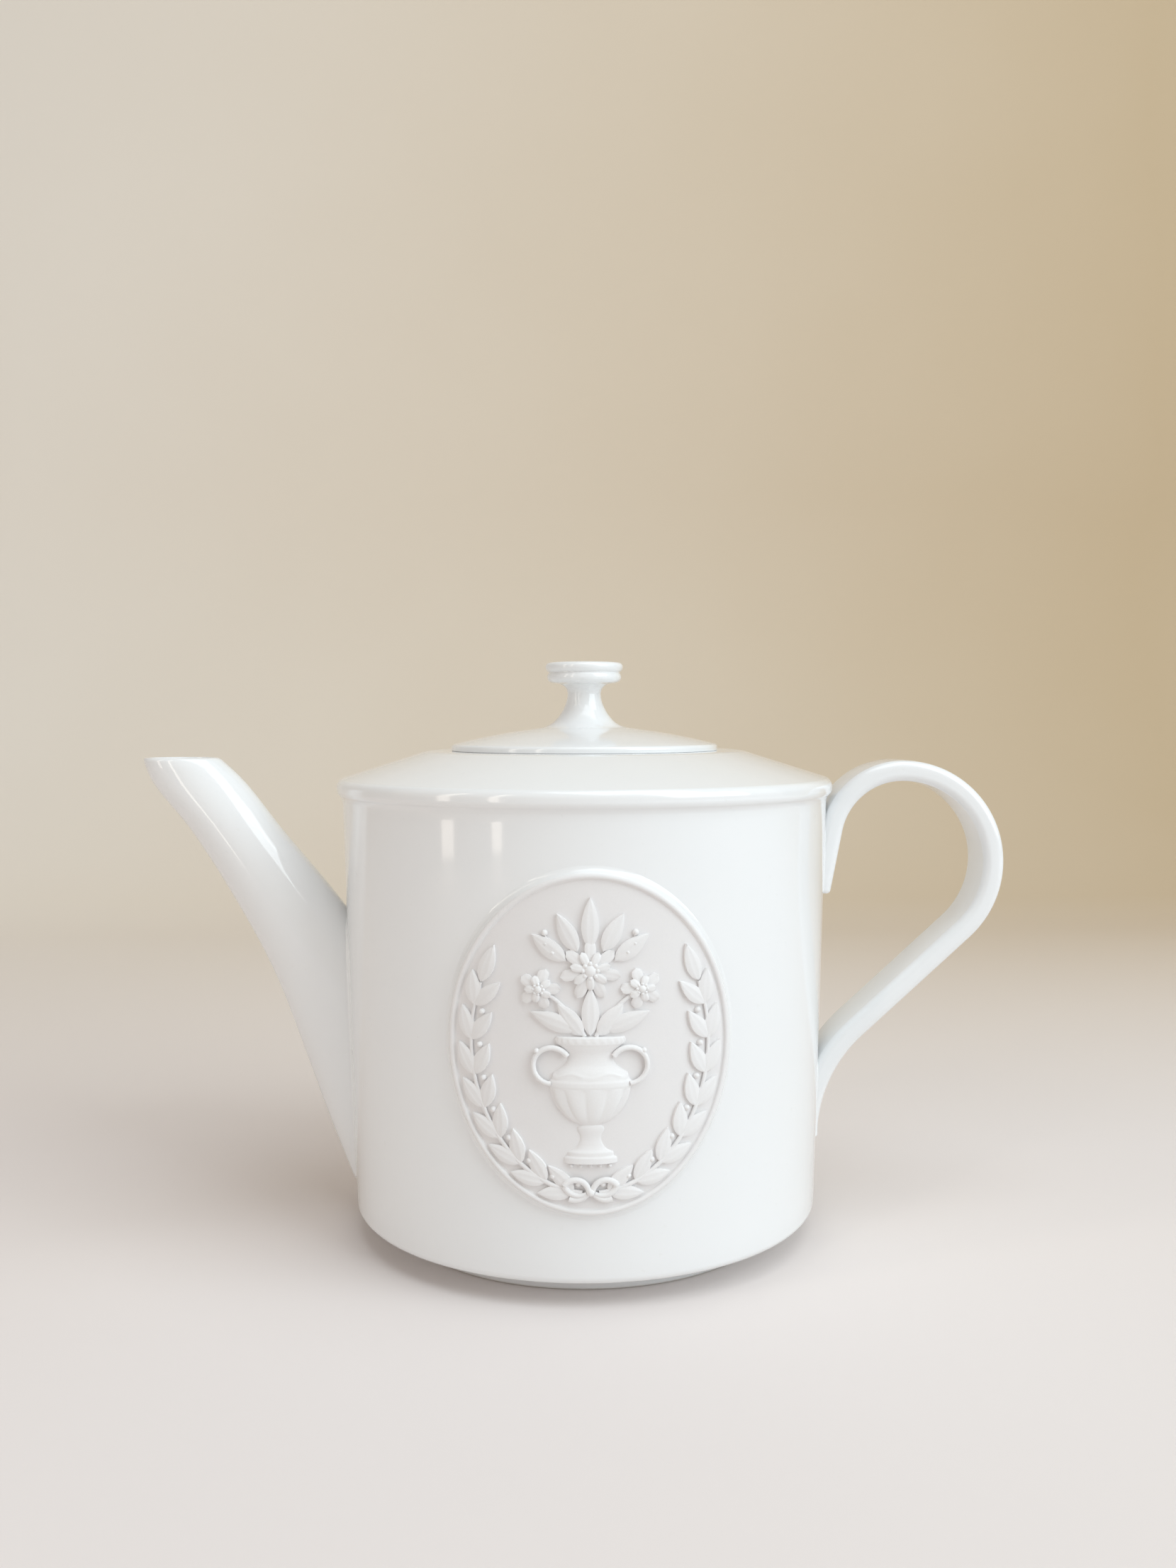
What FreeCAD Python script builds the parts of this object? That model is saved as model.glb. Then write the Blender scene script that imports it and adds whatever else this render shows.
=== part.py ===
import FreeCAD, Part
import math
import os
import re
import Sketcher

# A porcelain teapot of the straight-walled, high-shouldered kind, about one litre.
# Millimetres; the origin is on the pot's axis at the table, +Z is up,
# the spout points to -X, the handle to +X and the oval medallion to -Y.

Vec = FreeCAD.Vector
doc = FreeCAD.newDocument("teapot")

# Driving sizes: name, value and meaning
SIZES = (
    ("foot_height", "5.5", "table to the wall's bottom edge"),
    ("foot_radius", "47.5", "outer radius of the foot ring on the table"),
    ("foot_width", "4", "width of the ring's bearing face"),
    ("foot_flare", "0.9", "widening of the ring towards the base"),
    ("foot_edge_radius", "0.7", "rounding of the bearing face"),
    ("base_radius", "58.2", "outer radius of the wall at its bottom edge"),
    ("top_radius", "60.8", "outer radius of the wall at the shoulder"),
    ("wall_height", "103.9", "bottom edge to the shoulder's seat"),
    ("wall_thickness", "3.2", "wall"),
    ("floor_thickness", "4.2", "floor"),
    ("base_edge_radius", "2", "rounding of the bottom edge"),
    ("inner_corner_radius", "7", "rounding between floor and wall inside"),
    ("rim_overhang", "1.4", "shoulder rim beyond the wall"),
    ("rim_height", "3.4", "height of the rim bead"),
    ("rim_edge_radius", "1.5", "rounding of the rim bead"),
    ("ledge_rise", "10.6", "lid ledge above the shoulder's seat"),
    ("ledge_radius", "39.8", "outer radius of the level ledge"),
    ("ledge_corner_radius", "1.2", "rounding between cone and ledge"),
    ("shoulder_thickness", "3.8", "shoulder at the ledge"),
    ("mouth_radius", "29", "filling hole"),
    ("mouth_edge_radius", "0.8", "rounding of the filling hole"),
    ("strainer_bore", "4.2", "diameter of each strainer hole"),
    ("strainer_pitch", "10", "spacing of the strainer holes up the wall"),
    ("strainer_side", "5.2", "side columns of holes from the middle one"),
    ("strainer_height", "27", "lowest hole above the bottom edge"),
    ("strainer_rows", "5", "holes in the middle column"),
    ("lid_overlap", "4.7", "lid beyond the filling hole"),
    ("lid_edge_height", "1.5", "height of the lid's edge"),
    ("lid_edge_radius", "0.6", "rounding of the lid's edge"),
    ("lid_rise", "5.6", "knob seat above the ledge"),
    ("lid_curve_radius", "150", "dome of the lid's top"),
    ("lid_thickness", "3.4", "lid under the knob"),
    ("flange_depth", "13", "lid flange below the ledge"),
    ("flange_thickness", "2.8", "lid flange"),
    ("flange_clearance", "0.5", "flange to the filling hole, each side"),
    ("vent_bore", "2.6", "air hole in the lid"),
    ("vent_distance", "18", "air hole from the lid's middle"),
    ("lug_width", "8", "locking lug across"),
    ("lug_height", "4.6", "locking lug up and down"),
    ("lug_bite", "2.4", "lug beyond the filling hole"),
    ("lug_clearance", "0.8", "lug to its notch and to the ledge above"),
    ("lug_edge_radius", "0.9", "rounding of the lug"),
    ("knob_seat_radius", "9.5", "foot of the knob's stem"),
    ("knob_neck_radius", "4", "narrowest part of the stem"),
    ("knob_neck_height", "8.4", "neck above the seat"),
    ("knob_flare_radius", "9", "hollow curve of the stem"),
    ("knob_throat", "3", "hollow curve under the button"),
    ("knob_bead_radius", "1.75", "lower bead of the button"),
    ("knob_bead_height", "2.7", "height of the lower bead"),
    ("knob_groove_radius", "9", "groove round the button"),
    ("knob_bead_inset", "1.2", "lower edge of the bead inside the groove"),
    ("knob_plate_height", "2.6", "height of the button's top plate"),
    ("knob_plate_radius", "1.4", "edge of the button's top plate"),
    ("spout_root_height", "4.5", "spout's lower end above the bottom edge"),
    ("spout_mouth_rise", "9", "spout's mouth above the shoulder's seat"),
    ("spout_lip_height", "6.4", "pouring lip"),
    ("spout_wall", "2.6", "spout wall"),
    ("spout_lip_wall", "1.9", "spout wall at the mouth"),
    ("spout_bore_rise", "9", "bore's lower end above the spout's"),
    ("spout_reach_root", "1.2", "front of the spout from the pot's wall, lowest station"),
    ("spout_reach_low", "7.5", "the same, second station"),
    ("spout_reach_belly", "13.3", "the same, third station"),
    ("spout_reach_mid", "19.6", "the same, fourth station"),
    ("spout_reach_bend", "28.5", "the same, fifth station"),
    ("spout_reach_neck", "39.3", "the same, sixth station"),
    ("spout_reach_lip", "48.2", "the same, under the lip"),
    ("spout_reach_mouth", "50.6", "the same, at the mouth"),
    ("spout_depth_root", "23", "front to back, lowest station"),
    ("spout_depth_low", "26", "the same, second station"),
    ("spout_depth_belly", "28.4", "the same, third station"),
    ("spout_depth_mid", "29.4", "the same, fourth station"),
    ("spout_depth_bend", "26.1", "the same, fifth station"),
    ("spout_depth_neck", "22.7", "the same, sixth station"),
    ("spout_depth_lip", "23", "the same, under the lip"),
    ("spout_depth_mouth", "19", "the same, at the mouth"),
    ("spout_width_root", "14", "side to side, lowest station"),
    ("spout_width_low", "18.6", "the same, second station"),
    ("spout_width_belly", "21.4", "the same, third station"),
    ("spout_width_mid", "22", "the same, fourth station"),
    ("spout_width_bend", "20.4", "the same, fifth station"),
    ("spout_width_neck", "17", "the same, sixth station"),
    ("spout_width_lip", "15", "the same, under the lip"),
    ("spout_width_mouth", "14", "the same, at the mouth"),
    ("strap_width", "16", "handle strap across"),
    ("strap_thickness", "5.2", "handle strap"),
    ("strap_edge_radius", "1.9", "rounding of the strap"),
    ("handle_reach", "19.2", "highest point of the handle from the wall"),
    ("handle_rise", "5.3", "strap's middle line above the shoulder's seat"),
    ("handle_crook_radius", "18", "handle between wall and highest point"),
    ("handle_bow_radius", "23.2", "handle round the fingers"),
    ("handle_tail_length", "16.4", "tail pressed on the wall"),
    ("handle_tail_lean", "11", "tail from the vertical, degrees"),
    ("handle_slant", "42.6", "straight run below the level, degrees"),
    ("handle_foot_radius", "37.2", "sweep of the handle into the wall"),
    ("handle_foot_sink", "1.8", "strap's middle line inside the wall at its foot"),
    ("medallion_width", "61", "oval across, seen from the front"),
    ("medallion_height", "74", "oval up and down"),
    ("medallion_lift", "1.3", "oval's centre above the wall's middle"),
    ("plaque_thickness", "0.9", "field of the oval on the wall"),
    ("border_width", "1.3", "raised border of the oval"),
    ("border_height", "0.7", "raised border above the field"),
    ("border_edge_radius", "0.3", "rounding of the raised border"),
    ("urn_relief", "2.4", "urn above the field"),
    ("bouquet_relief", "1.9", "flowers above the field"),
    ("branch_relief", "1.4", "laurel branches above the field"),
)

sheet = doc.addObject("Spreadsheet::Sheet", "dims")
for row, (name, number, meaning) in enumerate(SIZES, 1):
    sheet.set("A%d" % row, name)
    sheet.set("B%d" % row, number)
    sheet.setAlias("B%d" % row, name)
    sheet.set("C%d" % row, meaning)
doc.recompute()

SIZE_NAMES = {name for name, number, meaning in SIZES}


def link(text):
    """An expression in which each named size is read from the sheet."""
    return re.sub(
        r"[a-z]+(?:_[a-z]+)+",
        lambda found: "dims." + found.group(0) if found.group(0) in SIZE_NAMES else found.group(0),
        text,
    )


def value(text):
    """The number that an expression over the named sizes gives."""
    number = sheet.evalExpression(link(text))
    return float(getattr(number, "Value", number))


def new_body(name):
    body = doc.addObject("PartDesign::Body", name)
    body.Label = name
    return body


def new_sketch(body, name, role):
    """A sketch on one of the body's own origin planes."""
    sketch = body.newObject("Sketcher::SketchObject", name)
    plane = [item for item in body.Origin.OriginFeatures if item.Role == role][0]
    sketch.AttachmentSupport = [(plane, "")]
    sketch.MapMode = "FlatFace"
    return sketch


def fix_point(sketch, edge, end, along, up):
    """Hold one end of an edge at the given distances from the sketch's origin."""
    for kind, text, axis in (("DistanceX", along, -2), ("DistanceY", up, -1)):
        number = value(text)
        if abs(number) < 1e-9:
            sketch.addConstraint(Sketcher.Constraint("PointOnObject", edge, end, axis))
        elif number > 0:
            index = sketch.addConstraint(Sketcher.Constraint(kind, -1, 1, edge, end, number))
            sketch.setExpression("Constraints[%d]" % index, link(text))
        else:
            index = sketch.addConstraint(Sketcher.Constraint(kind, edge, end, -1, 1, -number))
            sketch.setExpression("Constraints[%d]" % index, link("-(%s)" % text))


def bend_centre(start, end, side, radius):
    """Centre of the short arc from start to end that bends to the named side."""
    middle = (start + end) * 0.5
    chord = end - start
    rise = math.sqrt(max(radius * radius - chord.Length * chord.Length / 4.0, 0.0))
    normal = Vec(-chord.y, chord.x, 0)
    normal.normalize()
    if side == "right":
        normal = normal * -1.0
    return middle + normal * rise


def draw(sketch, corners, closed=True):
    """Draw straight sides and arcs through corners (along, up, bend).

    bend is None for a straight side to the next corner, or ("left" or "right", radius).
    """
    points = [Vec(value(along), value(up), 0) for along, up, bend in corners]
    count = len(corners) if closed else len(corners) - 1
    ends = []
    for index in range(count):
        start = points[index]
        stop = points[(index + 1) % len(points)]
        bend = corners[index][2]
        if bend is None:
            edge = sketch.addGeometry(Part.LineSegment(start, stop), False)
            ends.append((edge, 1, 2))
            continue
        side, size = bend
        radius = value(size)
        centre = bend_centre(start, stop, side, radius)
        first, last = (start, stop) if side == "left" else (stop, start)
        from_angle = math.atan2(first.y - centre.y, first.x - centre.x)
        to_angle = math.atan2(last.y - centre.y, last.x - centre.x)
        circle = Part.Circle(centre, Vec(0, 0, 1), radius)
        edge = sketch.addGeometry(Part.ArcOfCircle(circle, from_angle, to_angle), False)
        ends.append((edge, 1, 2) if side == "left" else (edge, 2, 1))
    for index, (edge, first, last) in enumerate(ends):
        if closed or index + 1 < len(ends):
            following = ends[(index + 1) % len(ends)]
            sketch.addConstraint(Sketcher.Constraint("Coincident", edge, last, following[0], following[1]))
    for index, (edge, first, last) in enumerate(ends):
        fix_point(sketch, edge, first, corners[index][0], corners[index][1])
        bend = corners[index][2]
        if bend is not None:
            held = sketch.addConstraint(Sketcher.Constraint("Radius", edge, value(bend[1])))
            sketch.setExpression("Constraints[%d]" % held, link(bend[1]))
    if not closed:
        fix_point(sketch, ends[-1][0], ends[-1][2], corners[-1][0], corners[-1][1])


def draw_oval(sketch, along, up, width, height):
    """Draw an ellipse with its axes along the sketch's own, from its full width and height."""
    centre = Vec(value(along), value(up), 0)
    across = value(width) / 2.0
    tall = value(height) / 2.0
    wide = across >= tall
    far = centre + (Vec(across, 0, 0) if wide else Vec(0, tall, 0))
    near = centre + (Vec(0, tall, 0) if wide else Vec(-across, 0, 0))
    edge = sketch.addGeometry(Part.Ellipse(far, near, centre), False)
    before = sketch.GeometryCount
    sketch.exposeInternalGeometry(edge)
    fix_point(sketch, edge, 3, along, up)
    major, minor = before, before + 1
    sketch.addConstraint(Sketcher.Constraint("Horizontal" if wide else "Vertical", major))
    for axis, text in ((major, width if wide else height), (minor, height if wide else width)):
        held = sketch.addConstraint(Sketcher.Constraint("Distance", axis, value(text)))
        sketch.setExpression("Constraints[%d]" % held, link(text))
    return edge


def turn(body, name, corners):
    """Turn a closed outline of (radius, height, bend) corners round the pot's axis."""
    sketch = new_sketch(body, name + "_outline", "XZ_Plane")
    draw(sketch, corners)
    turned = body.newObject("PartDesign::Revolution", name)
    turned.Profile = sketch
    turned.ReferenceAxis = (sketch, ["V_Axis"])
    turned.Angle = 360.0
    sketch.Visibility = False
    doc.recompute()
    return turned


def round_rings(body, name, base, rings, radius):
    """Round the circular edges of a turned solid that lie at the given radii and heights."""
    edges = []
    for ring_radius, ring_height in rings:
        wanted_radius = value(ring_radius)
        wanted_height = value(ring_height)
        for number, edge in enumerate(base.Shape.Edges, 1):
            curve = edge.Curve
            if not isinstance(curve, Part.Circle):
                continue
            if abs(curve.Radius - wanted_radius) < 0.01 and abs(curve.Center.z - wanted_height) < 0.01:
                edges.append("Edge%d" % number)
    rounding = body.newObject("PartDesign::Fillet", name)
    rounding.Base = (base, edges)
    rounding.setExpression("Radius", link(radius))
    doc.recompute()
    return rounding


def cone(name, offset):
    """The wall's outer surface as a solid, moved outwards by the given offset."""
    solid = doc.addObject("Part::Cone", name)
    solid.setExpression("Radius1", link("base_radius + %s" % offset))
    solid.setExpression("Radius2", link("top_radius + %s" % offset))
    solid.setExpression("Height", link("wall_height"))
    solid.setExpression("Placement.Base.z", link("foot_height"))
    return solid


def combine(kind, name, base, tool):
    """A boolean of two solids, labelled with the piece's name."""
    result = doc.addObject("Part::" + kind, name)
    result.Base = base
    result.Tool = tool
    result.Label = name
    doc.recompute()
    return result


SEAT = "(foot_height + wall_height)"
LEDGE = "(%s + ledge_rise)" % SEAT
KNOB_SEAT = "(%s + lid_rise)" % LEDGE
INNER_TOP = "(top_radius - wall_thickness)"
INNER_FLOOR = "(foot_height + floor_thickness)"
TAPER = "((top_radius - base_radius) / wall_height)"
INNER_BASE = "(base_radius - wall_thickness + %s * floor_thickness)" % TAPER
RIM = "(top_radius + rim_overhang)"
FLANGE = "(mouth_radius - flange_clearance)"
FLANGE_BORE = "(%s - flange_thickness)" % FLANGE
LID = "(mouth_radius + lid_overlap)"
LUG_TIP = "(mouth_radius + lug_bite)"
NOTCH = "(%s + lug_clearance)" % LUG_TIP
LUG_TOP = "(%s - shoulder_thickness - lug_clearance)" % LEDGE

# Pot: turned wall, floor and foot ring, with the strainer pierced behind the spout
pot = new_body("pot_body")
pot_turned = turn(
    pot,
    "pot_turned",
    (
        ("foot_radius - foot_width", "0", None),
        ("foot_radius", "0", None),
        ("foot_radius + foot_flare", "foot_height", None),
        ("base_radius", "foot_height", None),
        ("top_radius", SEAT, None),
        (INNER_TOP, SEAT, None),
        (INNER_BASE, INNER_FLOOR, None),
        ("0", INNER_FLOOR, None),
        ("0", "foot_height", None),
        ("foot_radius - foot_width - foot_flare", "foot_height", None),
    ),
)
pot_base_edge = round_rings(pot, "pot_base_edge", pot_turned, (("base_radius", "foot_height"),), "base_edge_radius")
pot_inner_corner = round_rings(
    pot, "pot_inner_corner", pot_base_edge, ((INNER_BASE, INNER_FLOOR),), "inner_corner_radius"
)
pot_foot_edge = round_rings(
    pot,
    "pot_foot_edge",
    pot_inner_corner,
    (("foot_radius", "0"), ("foot_radius - foot_width", "0")),
    "foot_edge_radius",
)


def pierce(name, base, columns, lowest, rows):
    """Pierce columns of strainer holes through the wall on the spout's side."""
    sketch = new_sketch(pot, name + "_holes", "YZ_Plane")
    for side in columns:
        hole = sketch.addGeometry(Part.Circle(Vec(value(side), value(lowest), 0), Vec(0, 0, 1), 1.0), False)
        held = sketch.addConstraint(Sketcher.Constraint("Diameter", hole, value("strainer_bore")))
        sketch.setExpression("Constraints[%d]" % held, link("strainer_bore"))
        fix_point(sketch, hole, 3, side, lowest)
    pocket = pot.newObject("PartDesign::Pocket", name)
    pocket.Profile = sketch
    pocket.Type = "ThroughAll"
    sketch.Visibility = False
    doc.recompute()
    pierced_volume = pocket.Shape.Volume
    if pocket.Shape.BoundBox.XMin > -1.0 or pierced_volume > base.Shape.Volume - 1.0:
        pocket.Reversed = True
        doc.recompute()
    pattern = pot.newObject("PartDesign::LinearPattern", name + "_column")
    pattern.Originals = [pocket]
    pattern.Direction = (sketch, ["V_Axis"])
    pattern.setExpression("Occurrences", link(rows))
    pattern.setExpression("Length", link("strainer_pitch * (%s - 1)" % rows))
    pot.Tip = pattern
    doc.recompute()
    return pattern


strainer_middle = pierce("strainer_middle", pot_foot_edge, ("0",), "foot_height + strainer_height", "strainer_rows")
strainer_sides = pierce(
    "strainer_sides",
    strainer_middle,
    ("strainer_side", "-strainer_side"),
    "foot_height + strainer_height + strainer_pitch / 2",
    "(strainer_rows - 1)",
)

# Shoulder: shallow cone with a rounded overhanging rim, a level ledge and the filling hole
shoulder = new_body("shoulder")
shoulder_turned = turn(
    shoulder,
    "shoulder_turned",
    (
        (INNER_TOP, SEAT, None),
        (RIM, SEAT, None),
        (RIM, SEAT + " + rim_height", None),
        ("ledge_radius", LEDGE, None),
        ("mouth_radius", LEDGE, None),
        ("mouth_radius", LEDGE + " - shoulder_thickness", None),
        ("ledge_radius", LEDGE + " - shoulder_thickness", None),
    ),
)
shoulder_rim = round_rings(
    shoulder, "shoulder_rim", shoulder_turned, ((RIM, SEAT), (RIM, SEAT + " + rim_height")), "rim_edge_radius"
)
shoulder_ledge = round_rings(
    shoulder, "shoulder_ledge", shoulder_rim, (("ledge_radius", LEDGE),), "ledge_corner_radius"
)
shoulder_mouth = round_rings(
    shoulder, "shoulder_mouth", shoulder_ledge, (("mouth_radius", LEDGE),), "mouth_edge_radius"
)
notch_sketch = new_sketch(shoulder, "lug_notch_outline", "XY_Plane")
draw(
    notch_sketch,
    (
        ("-" + NOTCH, "-lug_width / 2 - lug_clearance", None),
        ("-mouth_radius / 2", "-lug_width / 2 - lug_clearance", None),
        ("-mouth_radius / 2", "lug_width / 2 + lug_clearance", None),
        ("-" + NOTCH, "lug_width / 2 + lug_clearance", None),
    ),
)
notch = shoulder.newObject("PartDesign::Pocket", "lug_notch")
notch.Profile = notch_sketch
notch.Type = "ThroughAll"
notch.Reversed = True
notch_sketch.Visibility = False
doc.recompute()
if notch.Shape.Volume > shoulder_mouth.Shape.Volume - 1.0:
    notch.Reversed = False
    doc.recompute()

# Spout: lofted through level ovals, hollow, cut to lie on the pot's wall
ROOT = "(foot_height + spout_root_height)"
MOUTH = "(%s + spout_mouth_rise)" % SEAT
LIP = "(%s - spout_lip_height)" % MOUTH
STATIONS = ("root", "low", "belly", "mid", "bend", "neck")


def wall_at(height):
    """Outer radius of the wall at a height."""
    return "(base_radius + %s * (%s - foot_height))" % (TAPER, height)


def station_height(index):
    return "(%s + (%s - %s) * %d / 6)" % (ROOT, MOUTH, ROOT, index)


def level_oval(body, name, height, front, depth, width):
    """An oval sketch at a height, from its front edge, its depth and its width."""
    sketch = new_sketch(body, name, "XY_Plane")
    sketch.setExpression("AttachmentOffset.Base.z", link(height))
    draw_oval(sketch, "-(%s - (%s) / 2)" % (front, depth), "0", depth, width)
    sketch.Visibility = False
    return sketch


def loft(body, kind, name, sections):
    result = body.newObject("PartDesign::" + kind, name)
    result.Profile = sections[0]
    result.Sections = sections[1:]
    result.Ruled = False
    result.Closed = False
    doc.recompute()
    return result


spout_form = new_body("spout_form")
outer_ovals = []
for index, station in enumerate(STATIONS):
    height = station_height(index)
    front = "(%s + spout_reach_%s)" % (wall_at(height), station)
    outer_ovals.append(
        level_oval(
            spout_form,
            "spout_oval_" + station,
            height,
            front,
            "spout_depth_" + station,
            "spout_width_" + station,
        )
    )
for station, height in (("lip", LIP), ("mouth", MOUTH)):
    front = "(%s + spout_reach_%s)" % (wall_at(height), station)
    outer_ovals.append(
        level_oval(
            spout_form,
            "spout_oval_" + station,
            height,
            front,
            "spout_depth_" + station,
            "spout_width_" + station,
        )
    )
loft(spout_form, "AdditiveLoft", "spout_outside", outer_ovals)

SLOPE_WALL = "(1.3 * spout_wall)"
BORE_FOOT = "(%s + spout_bore_rise)" % ROOT
BORE_SHARE = "(6 * spout_bore_rise / (%s - %s))" % (MOUTH, ROOT)
bore_front = "(%s + spout_reach_root + (spout_reach_low - spout_reach_root) * %s - %s)" % (
    wall_at(BORE_FOOT),
    BORE_SHARE,
    SLOPE_WALL,
)
inner_ovals = [
    level_oval(
        spout_form,
        "bore_oval_root",
        BORE_FOOT,
        bore_front,
        "spout_depth_root - 2 * " + SLOPE_WALL,
        "spout_width_root - 2 * spout_wall",
    )
]
for index, station in enumerate(STATIONS):
    if index == 0:
        continue
    height = station_height(index)
    front = "(%s + spout_reach_%s - %s)" % (wall_at(height), station, SLOPE_WALL)
    inner_ovals.append(
        level_oval(
            spout_form,
            "bore_oval_" + station,
            height,
            front,
            "spout_depth_%s - 2 * %s" % (station, SLOPE_WALL),
            "spout_width_%s - 2 * spout_wall" % station,
        )
    )
inner_ovals.append(
    level_oval(
        spout_form,
        "bore_oval_lip",
        LIP,
        "(%s + spout_reach_lip - %s)" % (wall_at(LIP), SLOPE_WALL),
        "spout_depth_lip - 2 * " + SLOPE_WALL,
        "spout_width_lip - 2 * spout_wall",
    )
)
inner_ovals.append(
    level_oval(
        spout_form,
        "bore_oval_mouth",
        MOUTH,
        "(%s + spout_reach_mouth - spout_lip_wall)" % wall_at(MOUTH),
        "spout_depth_mouth - 2 * spout_lip_wall",
        "spout_width_mouth - 2 * spout_lip_wall",
    )
)
loft(spout_form, "SubtractiveLoft", "spout_bore", inner_ovals)
spout = combine("Cut", "spout", spout_form, cone("wall_under_spout", "0"))

# Handle: one strap swept from its tail on the wall, round the fingers and down into the wall
handle_form = new_body("handle_form")
TOP_ALONG = "(top_radius + handle_reach)"
TOP_UP = "(%s + handle_rise)" % SEAT
CROOK_ALONG = "(%s - handle_crook_radius * cos(handle_tail_lean * 1deg))" % TOP_ALONG
CROOK_UP = "(%s - handle_crook_radius * (1 - sin(handle_tail_lean * 1deg)))" % TOP_UP
TAIL_ALONG = "(%s - handle_tail_length * sin(handle_tail_lean * 1deg))" % CROOK_ALONG
TAIL_UP = "(%s - handle_tail_length * cos(handle_tail_lean * 1deg))" % CROOK_UP
BOW_ALONG = "(%s + handle_bow_radius * sin(handle_slant * 1deg))" % TOP_ALONG
BOW_UP = "(%s - handle_bow_radius * (1 + cos(handle_slant * 1deg)))" % TOP_UP
FOOT_ALONG = "(base_radius - handle_foot_sink)"
SWEEP_ALONG = "(%s + handle_foot_radius * (1 - sin(handle_slant * 1deg)))" % FOOT_ALONG
SWEEP_UP = "(%s - (%s - %s) * tan(handle_slant * 1deg))" % (BOW_UP, BOW_ALONG, SWEEP_ALONG)
FOOT_UP = "(%s - handle_foot_radius * cos(handle_slant * 1deg))" % SWEEP_UP
SIDE_ALONG = "(%s + handle_bow_radius)" % TOP_ALONG
SIDE_UP = "(%s - handle_bow_radius)" % TOP_UP

handle_path = new_sketch(handle_form, "handle_path", "XZ_Plane")
draw(
    handle_path,
    (
        (TAIL_ALONG, TAIL_UP, None),
        (CROOK_ALONG, CROOK_UP, ("right", "handle_crook_radius")),
        (TOP_ALONG, TOP_UP, ("right", "handle_bow_radius")),
        (SIDE_ALONG, SIDE_UP, ("right", "handle_bow_radius")),
        (BOW_ALONG, BOW_UP, None),
        (SWEEP_ALONG, SWEEP_UP, ("left", "handle_foot_radius")),
        (FOOT_ALONG, FOOT_UP, None),
    ),
    closed=False,
)
strap = new_sketch(handle_form, "strap_outline", "XY_Plane")
strap.AttachmentOffset = FreeCAD.Placement(Vec(0, 0, 0), FreeCAD.Rotation(Vec(0, 1, 0), 5.0))
strap.setExpression("AttachmentOffset.Base.x", link(TAIL_ALONG))
strap.setExpression("AttachmentOffset.Base.z", link(TAIL_UP))
strap.setExpression("AttachmentOffset.Rotation.Angle", link("handle_tail_lean * 1deg"))
HALF_T = "strap_thickness / 2"
HALF_W = "strap_width / 2"
CURVE = ("left", "strap_edge_radius")
draw(
    strap,
    (
        ("-%s + strap_edge_radius" % HALF_T, "-" + HALF_W, None),
        ("%s - strap_edge_radius" % HALF_T, "-" + HALF_W, CURVE),
        (HALF_T, "-%s + strap_edge_radius" % HALF_W, None),
        (HALF_T, "%s - strap_edge_radius" % HALF_W, CURVE),
        ("%s - strap_edge_radius" % HALF_T, HALF_W, None),
        ("-%s + strap_edge_radius" % HALF_T, HALF_W, CURVE),
        ("-" + HALF_T, "%s - strap_edge_radius" % HALF_W, None),
        ("-" + HALF_T, "-%s + strap_edge_radius" % HALF_W, CURVE),
    ),
)
handle_sweep = handle_form.newObject("PartDesign::AdditivePipe", "handle_sweep")
handle_sweep.Profile = strap
handle_sweep.Spine = (handle_path, [])
handle_path.Visibility = False
strap.Visibility = False
doc.recompute()
handle = combine("Cut", "handle", handle_form, cone("wall_under_handle", "0"))

# Lid: shallow dome with a deep flange and an air hole at the back
lid = new_body("lid")
lid_turned = turn(
    lid,
    "lid_turned",
    (
        (FLANGE_BORE, LEDGE + " - flange_depth", None),
        (FLANGE, LEDGE + " - flange_depth", None),
        (FLANGE, LEDGE, None),
        (LID, LEDGE, None),
        (LID, LEDGE + " + lid_edge_height", ("left", "lid_curve_radius")),
        ("knob_seat_radius", KNOB_SEAT, None),
        ("0", KNOB_SEAT, None),
        ("0", KNOB_SEAT + " - lid_thickness", None),
        (FLANGE_BORE, LEDGE, None),
    ),
)
lid_edge = round_rings(
    lid, "lid_edge", lid_turned, ((LID, LEDGE), (LID, LEDGE + " + lid_edge_height")), "lid_edge_radius"
)
lid_flange_edge = round_rings(
    lid,
    "lid_flange_edge",
    lid_edge,
    ((FLANGE, LEDGE + " - flange_depth"), (FLANGE_BORE, LEDGE + " - flange_depth")),
    "lid_edge_radius",
)
vent_sketch = new_sketch(lid, "vent_outline", "XY_Plane")
vent_circle = vent_sketch.addGeometry(Part.Circle(Vec(0, value("vent_distance"), 0), Vec(0, 0, 1), 1.0), False)
vent_held = vent_sketch.addConstraint(Sketcher.Constraint("Diameter", vent_circle, value("vent_bore")))
vent_sketch.setExpression("Constraints[%d]" % vent_held, link("vent_bore"))
fix_point(vent_sketch, vent_circle, 3, "0", "vent_distance")
vent = lid.newObject("PartDesign::Pocket", "vent")
vent.Profile = vent_sketch
vent.Type = "ThroughAll"
vent.Reversed = True
vent_sketch.Visibility = False
doc.recompute()
if vent.Shape.Volume > lid_flange_edge.Shape.Volume - 1.0:
    vent.Reversed = False
    doc.recompute()

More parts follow.
